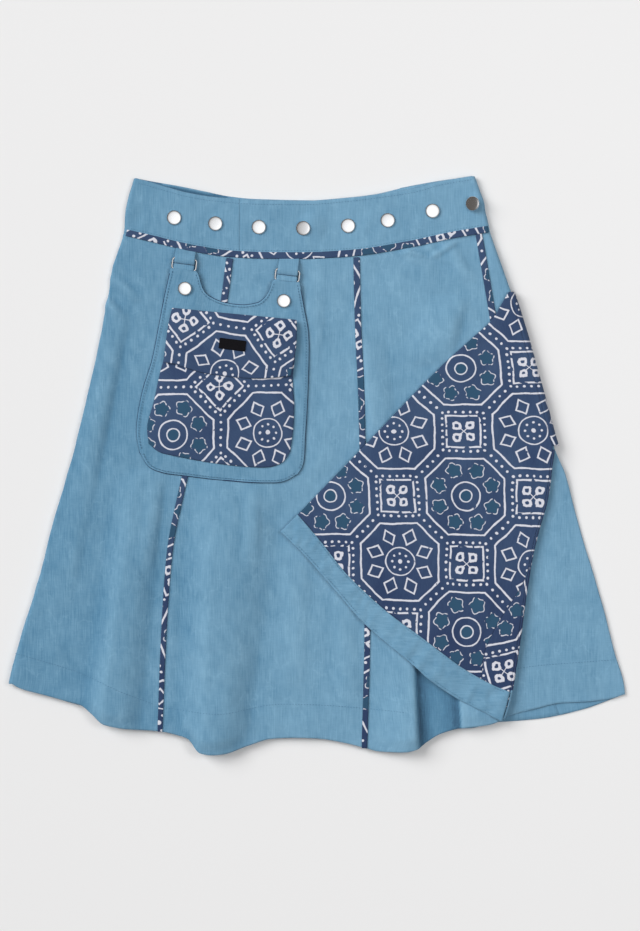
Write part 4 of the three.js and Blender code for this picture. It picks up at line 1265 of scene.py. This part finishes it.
def band_inner_at(x, y):
    """Height of the middle of the band's inner round."""
    return PITCH + band_back_at(x, y)


def band(left, right, top, height, columns):
    """Length of the band between two edges."""
    return gore(left, right, top, waist, height, columns, 24)


def upright(top, x):
    """Edge that runs straight down the band."""

    def edge(t):
        t = np.asarray(t, float)
        return np.stack([x + 0 * t, top(x) + (waist(x) - top(x)) * t], -1)

    return edge


def left_band_spine(y):
    """Where the band starts its half turn round the left side."""
    return left_fold(y) + PITCH + BAND / 2


right_band_side = down(right_spine, RIGHT_BAND_TOP_Y, RIGHT_WAIST_Y)
left_band_side = down(left_band_spine, LEFT_BAND_TOP_Y, LEFT_WAIST_Y)
band_right = wrapped(
    band(upright(band_top, BAND_SEAM_X), right_band_side, band_top, band_front_at, 110),
    band(right_band_side, upright(back_band_top, WRAP_END_X), back_band_top, on_floor(BAND), 34),
    1,
)[:, ::-1]
sheet(
    "waistband_right", band_right, ALL_CANVAS, unrolled(band_right, -1), "folded",
    ["floor", "gore_right_cloth"], thickness=BAND,
)
band_main = wrapped(
    wrapped(
        band(upright(band_top, BAND_SEAM_X), left_band_side, band_top, band_front_at, 50),
        band(left_band_side, right_band_side, back_band_top, band_back_at, 110),
        -1,
    ),
    band(right_band_side, upright(band_top, INNER_END[0][1]), band_top, band_inner_at, 80),
    1,
)
# The band's inside, where it lies below the front band and left of the seam, takes that painted shade
main_front = band_front_at(band_main[..., 0], band_main[..., 1])
below_front = ease((main_front - band_main[..., 2] - 1) / 0.5)
main_wear = INSIDE_PAINTED_SHADE * below_front * ease((LEFT_OF_SEAM - band_main[..., 0]) / 10)
sheet(
    "waistband_main", band_main, ALL_CANVAS, unrolled(band_main), "folded", ["floor", "gore_left_cloth"],
    thickness=BAND, wear=main_wear,
)


def waist_trim_at(x, y):
    """Height of the middle of the piping."""
    return band_front_at(x, y) + BAND / 2 + GAP + TRIM / 2


waist_line = across(waist, -190.5, 171.2)
waist_tape = strip(waist_line, (WAIST_TRIM_WIDTH, WAIST_TRIM_WIDTH), 220, waist_trim_at)
sheet(
    "waist_trim", waist_tape, ALL_PRINT, laid_print(waist_tape, (20, 11), 0.5), "laid",
    ["waistband_right_cloth", "waistband_main_cloth"], thickness=TRIM,
)
stitches("band_top_stitches", moved(across(band_top, -178, 156), -4), on_top(band_front_at, BAND))
stitches("band_foot_stitches", moved(across(waist, -188, 166), 5), on_top(band_front_at, BAND))

# Where the hem's stitches run on the left gore, on the rest of the outer front and on the inner one
HEM_STITCHES = {
    "hem_stitches_left": ([(-303, -188), (-240, -207), (-190, -229), (-162, -240)], front_at),
    "hem_stitches_front": (
        [(-153, -243), (-97, -248.5), (-71, -244.7), (-47, -240), (0, -240), (90, -247)], front_at,
    ),
    "hem_stitches_inner": ([(200, -204), (221, -201), (260, -198), (300, -195)], inner_at),
}
for name, (points, height) in HEM_STITCHES.items():
    stitches(name, through(points), on_top(height, CLOTH), 0.005, 0.995)

# Snaps. Nickel-plated caps, 15 mm across, are pressed through the band and closed over sockets. Each has
# a nearly flat top and a rolled edge, and tilts as the cloth below it slopes.
NICKEL = (244, 244, 245)
NICKEL_GRAIN = 900
NICKEL_ROUGHNESS = (0.12, 0.26)
nickel = bpy.data.materials.new("nickel")
nickel.use_nodes = True
nickel_shader = nickel.node_tree.nodes["Principled BSDF"]
nickel_shader.inputs["Metallic"].default_value = 1.0
nickel_shader.inputs["Base Color"].default_value = linear(NICKEL)
nickel_place = nickel.node_tree.nodes.new("ShaderNodeTexCoord")
nickel_grain = nickel.node_tree.nodes.new("ShaderNodeTexNoise")
nickel_grain.inputs["Scale"].default_value = NICKEL_GRAIN
nickel_span = nickel.node_tree.nodes.new("ShaderNodeMapRange")
nickel_span.inputs["To Min"].default_value, nickel_span.inputs["To Max"].default_value = NICKEL_ROUGHNESS
nickel.node_tree.links.new(nickel_place.outputs["Object"], nickel_grain.inputs["Vector"])
nickel.node_tree.links.new(nickel_grain.outputs["Fac"], nickel_span.inputs["Value"])
nickel.node_tree.links.new(nickel_span.outputs[0], nickel_shader.inputs["Roughness"])
LAST_SNAP_LEAN = 0.3
CAP_DIAMETER = 14.8
POUCH_CAP_DIAMETER = 14
CAP_SIDES = 40
CAP_REACH = 7
SNAPS = [
    (-143, 247.5), (-101.7, 241.6), (-58.2, 238.1), (-13.6, 236.9), (31.1, 239.4), (70.8, 244.7),
    (115.5, 254.1), (156.6, 261.2),
]

# Side view of a cap, as a share of its radius and a height: foot, rolled edge and nearly flat top
CAP_SECTION = [
    (0.0, 0.0), (0.93, 0.0), (0.985, 0.2), (1.0, 0.6), (0.985, 1.02), (0.95, 1.36), (0.9, 1.56),
    (0.84, 1.68), (0.74, 1.77), (0.58, 1.85), (0.4, 1.9), (0.2, 1.93), (0.0, 1.94),
]


def cap(name, place, diameter, height, clearance, node, lean=0.0):
    """Cap of a snap: its side view carried round its axis, then tilted as the cloth slopes below it and by
    its own lean, a further slope towards the right side."""
    section = np.array(CAP_SECTION) * [diameter / 2, 1]
    angle = 2 * np.pi * np.arange(CAP_SIDES) / CAP_SIDES
    ring = np.stack([np.cos(angle), np.sin(angle)], -1)
    inner = section[1:-1]
    heights = np.broadcast_to(inner[:, None, 1:], (len(inner), CAP_SIDES, 1))
    body = np.concatenate([inner[:, None, :1] * ring[None], heights], -1).reshape(-1, 3)
    points = np.concatenate([body, [[0, 0, section[0, 1]], [0, 0, section[-1, 1]]]])
    x, y = place
    slope_x = (height(x + CAP_REACH, y) - height(x - CAP_REACH, y)) / (2 * CAP_REACH) + lean
    slope_y = (height(x, y + CAP_REACH) - height(x, y - CAP_REACH)) / (2 * CAP_REACH)
    up = unit(np.array([-float(slope_x), -float(slope_y), 1.0]))
    right = unit(np.cross([0, 1.0, 0], up))
    points = points @ np.stack([right, np.cross(up, right), up])
    points += np.array([x, y, float(height(x, y))]) + up * clearance
    index = np.arange(len(body)).reshape(-1, CAP_SIDES)
    after = np.roll(index, -1, 1)
    sides = np.stack([index[:-1], after[:-1], after[1:], index[1:]], -1).reshape(-1, 4)
    foot, crown = len(body), len(body) + 1
    faces = sides.tolist()
    faces += [[foot, b, a] for a, b in zip(index[0], after[0])]
    faces += [[crown, a, b] for a, b in zip(index[-1], after[-1])]
    return sewn(meshed(name, points, faces, nickel), node)


for number, place in enumerate(SNAPS, 1):
    lean = LAST_SNAP_LEAN if number == len(SNAPS) else 0
    lift = BAND / 2 + GAP + abs(lean) * CAP_DIAMETER / 3
    cap(f"snap_cap_{number}", place, CAP_DIAMETER, band_front_at, lift, f"snap_{number}", lean)

# Hip pouch. A canvas backing with two tabs carries a printed pocket and a printed flap over it, and
# hangs by two nickel rings from straps sewn under the band. A bare woven label is sewn to the flap.
POUCH_TOP = [
    (-146, 196.6), (-120.5, 193.5), (-117.6, 188), (-115.7, 180.6), (-112, 173), (-105, 167.6),
    (-91.6, 162.5), (-74, 160.3), (-59.4, 162.5), (-52, 168), (-47.4, 176), (-44.5, 183), (-41.5, 185.5),
    (-17.5, 182.5),
]
POUCH_LEFT = [
    (-146, 196.6), (-152.5, 168.3), (-159, 135), (-165, 105), (-174, 76), (-179.7, 46.5), (-180.4, 29),
    (-177, 12),
]
POUCH_BOTTOM = [
    (-177, 12), (-168, -2), (-155, -7.7), (-128.3, -11.4), (-99, -15), (-55, -18), (-33, -16.5), (-19, -9),
]
POUCH_RIGHT = [(-17.5, 182.5), (-13, 157), (-8.7, 132), (-8.7, 88), (-11.7, 29), (-14, 0), (-19, -9)]
POCKET_LEFT = [(-144.5, 155), (-152, 110), (-157, 91), (-163, 63), (-169.4, 39), (-168, 21)]
POCKET_BOTTOM = [
    (-168, 21), (-158, 13), (-143, 9), (-105, 2), (-70, -2), (-46.2, -2), (-34, 3), (-27, 13),
]
POCKET_RIGHT = [(-21, 143), (-22, 110), (-24.4, 85), (-23, 60), (-24, 35), (-27, 13)]
POCKET_FLAP_LEFT = [(-144.5, 157), (-148, 142), (-151, 120), (-153.3, 102.3)]
POCKET_FLAP_BOTTOM = [
    (-153.3, 102.3), (-143, 101), (-128.3, 96), (-111, 91.3), (-84.3, 87.6), (-55, 86.2), (-26.3, 89),
]
POCKET_FLAP_RIGHT = [(-20.5, 145), (-20.5, 130), (-21.2, 117), (-26.3, 89)]
POCKET_CROWN = 3.4
POCKET_FLAP_CROWN = 1
POUCH_OVER_FRONT = 2.4
TAB_OVER_FRONT = 4.7
POUCH_TILT = math.radians(-7)
TAB_TOP = 196
RIGHT_TAB_DROP = 11
TAB_RUN = 36
POCKET_FLAP_RISE = 3
POCKET_FLAP_SEAM = 160
POCKET_FLAP_RUN = 26
POUCH_MIDDLE_X = -80
POUCH_SNAPS = {"left": (-132.1, 176.4), "right": (-33.2, 164.1)}
RINGS = {"left": (-132.8, 200.8), "right": (-29.7, 189.6)}
pouch_top = graph(POUCH_TOP)


def backing_at(x, y):
    """Height of the middle of the pouch's backing, which rises at its tabs to the rings."""
    top = np.where(x < POUCH_MIDDLE_X, TAB_TOP, TAB_TOP - RIGHT_TAB_DROP)
    run = ease((y - top + TAB_RUN) / TAB_RUN)
    over = POUCH_OVER_FRONT + (TAB_OVER_FRONT - POUCH_OVER_FRONT) * run
    return front_at(x, y) + CLOTH / 2 + over + drift(x, y, 50, 0.2, 3.2)


def crowned(points, crown):
    """Sheet that lies close at its edges and swells between them as the power 0.6 of a sine."""
    rows, columns, _ = points.shape
    v = np.sin(np.pi * np.linspace(0, 1, rows)).clip(0) ** 0.6
    u = np.sin(np.pi * np.linspace(0, 1, columns)).clip(0) ** 0.6
    raised_points = points.copy()
    raised_points[..., 2] += crown * v[:, None] * u
    return raised_points


backing = patch(
    across(pouch_top, POUCH_TOP[-1][0], POUCH_TOP[0][0]), back(through(POUCH_BOTTOM)),
    through(POUCH_RIGHT), through(POUCH_LEFT), 100, 110, backing_at,
)
# The backing's canvas is a little darker in tone
POUCH_TONE_SHIFT = -0.1
EDGE_PRESSED = 1.1
TAB_FOOT = 150
TAB_FOOT_RUN = 30
PLAIN_ABOVE = 0.1745
EDGE_RUN = 0.09


def near_edge(count):
    """Share from 1 at the first and last place of a row to 0 a short way in."""
    place = np.linspace(0, 1, count)
    return 1 - ease(np.minimum(place, 1 - place) / EDGE_RUN)


tab_share = ease((backing[..., 1] - TAB_FOOT) / TAB_FOOT_RUN)
at_edge = np.maximum(near_edge(backing.shape[0])[:, None], near_edge(backing.shape[1]))
backing[..., 2] -= EDGE_PRESSED * at_edge * (1 - tab_share)

# The navy edging of the backing ends at the foot of its tabs
backing_piece = sheet(
    "pouch_backing", backing, ALL_CANVAS, unrolled(backing), "hung",
    ["ring_left", "ring_right", "gore_left_cloth", "gore_centre_cloth"],
    rim="edging", bulge=0.5, wear=POUCH_TONE_SHIFT,
)
for face in backing_piece.data.polygons:
    if face.center.y > PLAIN_ABOVE + face.center.x * math.tan(POUCH_TILT):
        face.material_index = 0


def pocket_at(x, y):
    """Height of the middle of the pocket's edge."""
    return backing_at(x, y) + CLOTH + GAP


pocket = crowned(patch(
    through([POCKET_RIGHT[0], POCKET_LEFT[0]]), back(through(POCKET_BOTTOM)),
    through(POCKET_RIGHT), through(POCKET_LEFT), 80, 80, pocket_at,
), POCKET_CROWN)
pocket_cloth = laid_print(pocket, (-143.6, 30.2), math.radians(46))
sheet("pocket_body", pocket, ALL_PRINT, pocket_cloth, "laid", ["pouch_backing_cloth"])


def pocket_flap_at(x, y):
    """Height of the middle of the pocket flap's edge, which rises over the pocket below its seam."""
    rise = POCKET_FLAP_RISE * ease((POCKET_FLAP_SEAM - y) / POCKET_FLAP_RUN)
    return pocket_at(x, y) + CLOTH + GAP + rise


pocket_flap = crowned(patch(
    through([POCKET_FLAP_RIGHT[0], POCKET_FLAP_LEFT[0]]), back(through(POCKET_FLAP_BOTTOM)),
    through(POCKET_FLAP_RIGHT), through(POCKET_FLAP_LEFT), 80, 50, pocket_flap_at,
), POCKET_FLAP_CROWN)
flap_cloth = laid_print(pocket_flap, (-92.2, 91.2), math.radians(36), 1)
sheet("pocket_flap", pocket_flap, ALL_PRINT, flap_cloth, "laid", ["pocket_body_cloth"])

LABEL = {"x": -84.3, "y": 120, "width": 26, "height": 10, "thickness": 1.0}
LABEL_BLACK = (9, 9, 11)
LABEL_LINT = (30, 29, 33)
RIB = 0.9
label_finish = Finish("woven_label")
ribs = (label_finish.y * (2 * math.pi / RIB)).maths("SINE")
label_lint = label_finish.noise(0.8, 0.8, 2, 9)[0]
label_tone = label_finish.mix(label_lint + ribs * 0.15, LABEL_BLACK, LABEL_LINT)
label_finish.surface(label_tone, Roughness=0.8, Specular_IOR_Level=0.15)
label_finish.weave(0.45, 0.5, ribs * 0.5)
FINISHES["label"] = label_finish.material


def tilted(x, y):
    """Places turned as the pouch hangs, a little down towards its right."""
    turned_x = x * math.cos(POUCH_TILT) - y * math.sin(POUCH_TILT)
    turned_y = x * math.sin(POUCH_TILT) + y * math.cos(POUCH_TILT)
    return turned_x, turned_y


label_places = np.meshgrid(
    np.linspace(LABEL["width"] / 2, -LABEL["width"] / 2, 28),
    np.linspace(LABEL["height"] / 2, -LABEL["height"] / 2, 12),
)
label_x, label_y = tilted(*label_places)
label_x += LABEL["x"]
label_y += LABEL["y"]
over_flap = POCKET_FLAP_CROWN + CLOTH / 2 + GAP + LABEL["thickness"] / 2
label = np.stack([label_x, label_y, pocket_flap_at(label_x, label_y) + over_flap], -1)
sheet(
    "pocket_label", label, ("label", "label"), np.stack(label_places, -1), "laid", ["pocket_flap_cloth"],
    thickness=LABEL["thickness"],
)

# Rings and straps. Each ring is a rectangle of nickel wire. A strap comes down from under the band
# round its upper bar, and the end of the pouch's tab turns round its lower bar.
RING_WIDTH = 24.6
RING_HEIGHT = 13.8
RING_WIRE = 2.2
RING_CORNER = 2.6
RING_BOW = 0.09
WIRE_SIDES = 16
STRAP_WIDTH = 19.6
LOOP_SLACK = 0.2
LOOP = RING_WIRE / 2 + GAP + CLOTH / 2 + LOOP_SLACK
RING_OVER_FRONT = GAP + CLOTH / 2 + LOOP
STRAP_SHOULDER = 3
STRAP_TOP_GAP = 0.15
LOOP_REACH = 5.1
TAB_TURN_LENGTH = 8


def hung(points, place):
    """Points of a piece at a ring, tilted with the pouch and carried to the ring's place."""
    x, y = place
    turned_x, turned_y = tilted(points[..., 0], points[..., 1])
    height = float(front_flat_at(x, y)) + RING_OVER_FRONT
    return np.stack([turned_x + x, turned_y + y, points[..., 2] + height], -1)


def ring_piece(name, place, node):
    """Ring: a circle of 16 points carried round a rectangle with round corners and sides that bow out."""
    turn_steps = 9
    angle = np.concatenate([np.pi / 2 * (k + np.linspace(0, 1, turn_steps)) for k in range(4)])
    corner = np.repeat([[1, 1], [-1, 1], [-1, -1], [1, -1]], turn_steps, axis=0)
    reach = np.array([RING_WIDTH, RING_HEIGHT]) / 2 - RING_WIRE / 2 - RING_CORNER
    outward = np.stack([np.cos(angle), np.sin(angle)], -1)
    path = corner * reach + outward * RING_CORNER
    path[:, 0] *= 1 + RING_BOW * (1 - (path[:, 1] / (RING_HEIGHT / 2)) ** 2)
    round_wire = 2 * np.pi * np.arange(WIRE_SIDES) / WIRE_SIDES
    wide = path[:, None] + outward[:, None] * (RING_WIRE / 2 * np.cos(round_wire))[:, None]
    tall = np.broadcast_to(RING_WIRE / 2 * np.sin(round_wire), wide.shape[:2])
    points = hung(np.concatenate([wide, tall[..., None]], -1).reshape(-1, 3), place)
    index = np.arange(len(points)).reshape(-1, WIRE_SIDES)
    ahead = np.roll(index, -1, 0)
    faces = np.stack([index, ahead, np.roll(ahead, -1, 1), np.roll(index, -1, 1)], -1).reshape(-1, 4)
    return sewn(meshed(name, points, faces, nickel), node)


def half_turn(centre, facing):
    """Side view of cloth that goes slackly round a bar: half an oval, longer than it is high."""
    angle = np.pi * np.linspace(0, 1, 13)
    return np.stack([centre - facing * LOOP_REACH * np.sin(angle), LOOP * np.cos(angle)], -1)


def webbing(profile):
    """Strip of cloth whose side view is a list of distance and height, filled in to even steps."""
    run = distances(profile)
    at = np.unique(np.concatenate([run, np.linspace(0, run[-1], 24)]))
    along, height = np.interp(at, run, profile[:, 0]), np.interp(at, run, profile[:, 1])
    offsets = np.linspace(-STRAP_WIDTH / 2, STRAP_WIDTH / 2, 15)
    wide = offsets[None] + 0 * along[:, None]
    return np.stack([wide, along[:, None] + 0 * wide, height[:, None] + 0 * wide], -1)


bar = RING_HEIGHT / 2 - RING_WIRE / 2
for side, place in RINGS.items():
    ring_piece(f"ring_{side}_wire", place, f"ring_{side}")
    trim_foot = float(waist(place[0])) - WAIST_TRIM_WIDTH / 2 - STRAP_TOP_GAP - place[1]
    strap_profile = np.array([
        (trim_foot, 2 * GAP + CLOTH / 2 - RING_OVER_FRONT), (bar + STRAP_SHOULDER, LOOP - GAP),
        *half_turn(bar, 1), (bar + STRAP_SHOULDER, -LOOP),
    ])
    flat_strap = webbing(strap_profile)
    strap = hung(flat_strap, place)
    to_trim = waist(strap[0, :, 0]) - WAIST_TRIM_WIDTH / 2 - STRAP_TOP_GAP - strap[0, :, 1]
    strap[..., 1] += np.clip(flat_strap[..., 1] / trim_foot, 0, 1) ** 2 * to_trim
    strap = strap[:, ::-1]
    sheet(f"strap_{side}", strap, ALL_CANVAS, unrolled(strap), "folded", [f"ring_{side}_wire"])
    tab_profile = np.array([*half_turn(-bar, -1), (-bar - TAB_TURN_LENGTH, -LOOP)])
    tab = hung(webbing(tab_profile), place)
    sheet(f"tab_turn_{side}", tab, ALL_CANVAS, unrolled(tab), "folded", [f"ring_{side}_wire"])
for side, place in POUCH_SNAPS.items():
    cap(f"pouch_cap_{side}", place, POUCH_CAP_DIAMETER, backing_at, CLOTH / 2 + 2 * GAP, f"pouch_snap_{side}")
backing_top = on_top(backing_at, CLOTH)
POUCH_THREAD = 0.34
FROM_EDGE = 2.4
for name, points, off in (
    ("left", POUCH_LEFT, FROM_EDGE),
    ("foot", POUCH_BOTTOM, FROM_EDGE),
    ("right", POUCH_RIGHT, -FROM_EDGE),
):
    stitches(f"pouch_stitches_{name}", moved(through(points), off), backing_top, 0.01, 0.99, POUCH_THREAD)
pouch_mouth = moved(across(pouch_top, -119, -43), -FROM_EDGE)
stitches("pouch_stitches_top", pouch_mouth, backing_top, thick=POUCH_THREAD)

# Stage. A pale floor, soft daylight from the upper left, and a camera straight above the skirt.
FRAME_HEIGHT = 0.931
FRAME_MIDDLE = (0.0029, -0.0003)
CAMERA_HEIGHT = 3.1
SENSOR = 36
CLOTH_PLANE = 0.008
FLOOR_HALF = 6
BELOW_CLOTH = -0.0005
PAPER = (236, 236, 236)
floor_corners = [(x * FLOOR_HALF, y * FLOOR_HALF, 0) for x, y in ((-1, -1), (1, -1), (1, 1), (-1, 1))]
floor_mesh = bpy.data.meshes.new("floor")
floor_mesh.from_pydata(floor_corners, [], [(0, 1, 2, 3)])
floor = linked("floor", floor_mesh, (0, 0, BELOW_CLOTH))
paper = bpy.data.materials.new("paper")
paper.use_nodes = True
paper_shader = paper.node_tree.nodes["Principled BSDF"]
paper_shader.inputs["Base Color"].default_value = linear(PAPER)
paper_shader.inputs["Roughness"].default_value = 0.9
paper_shader.inputs["Specular IOR Level"].default_value = 0.1
floor_mesh.materials.append(paper)

# The room is bright overhead and dim and brown low down, as the caps show it
ROOM_HIGH = (0.97, 0.985, 1.0, 1)
ROOM_LOW = (0.085, 0.078, 0.072, 1)
ROOM_BRIGHTEST = (0.12, -0.08, 0.99)
ROOM_FOCUS = 9
ROOM_STRENGTH = 1.35
world = bpy.data.worlds.new("studio")
bpy.context.scene.world = world
world.use_nodes = True
room = world.node_tree
way = room.nodes.new("ShaderNodeTexCoord")
overhead = room.nodes.new("ShaderNodeVectorMath")
overhead.operation = "DOT_PRODUCT"
overhead.inputs[1].default_value = ROOM_BRIGHTEST
room.links.new(way.outputs["Generated"], overhead.inputs[0])
above = Field(room, overhead.outputs["Value"]).most(0).maths("POWER", ROOM_FOCUS)
room_mix = room.nodes.new("ShaderNodeMix")
room_mix.data_type = "RGBA"
room_mix.inputs[6].default_value = ROOM_LOW
room_mix.inputs[7].default_value = ROOM_HIGH
room.links.new(above.socket, room_mix.inputs["Factor"])
room.links.new(room_mix.outputs[2], room.nodes["Background"].inputs["Color"])
room.nodes["Background"].inputs["Strength"].default_value = ROOM_STRENGTH


def lamp(name, place, size, power, colour):
    """Square lamp at a place, turned towards the middle of the skirt."""
    light = bpy.data.lights.new(name, "AREA")
    light.size = size
    light.energy = power
    light.color = colour
    made = linked(name, light, place)
    away = unit(np.array(place))
    made.rotation_euler = (math.acos(away[2]), 0, math.atan2(away[0], -away[1]))
    made.visible_glossy = False
    return made


lamp("window", (-8.6, 4.6, 8.2), 8.0, 1440, (0.995, 0.995, 1.0))
lamp("ceiling", (1.35, 0.2, 2.1), 0.9, 13.5, (0.985, 0.99, 1.0))

camera_data = bpy.data.cameras.new("camera")
camera_data.sensor_width = SENSOR
camera_data.lens = SENSOR * (CAMERA_HEIGHT - CLOTH_PLANE) / FRAME_HEIGHT
camera_data.clip_end = 20
bpy.context.scene.camera = linked("camera", camera_data, (*FRAME_MIDDLE, CAMERA_HEIGHT))
bpy.context.scene.view_settings.view_transform = "Standard"
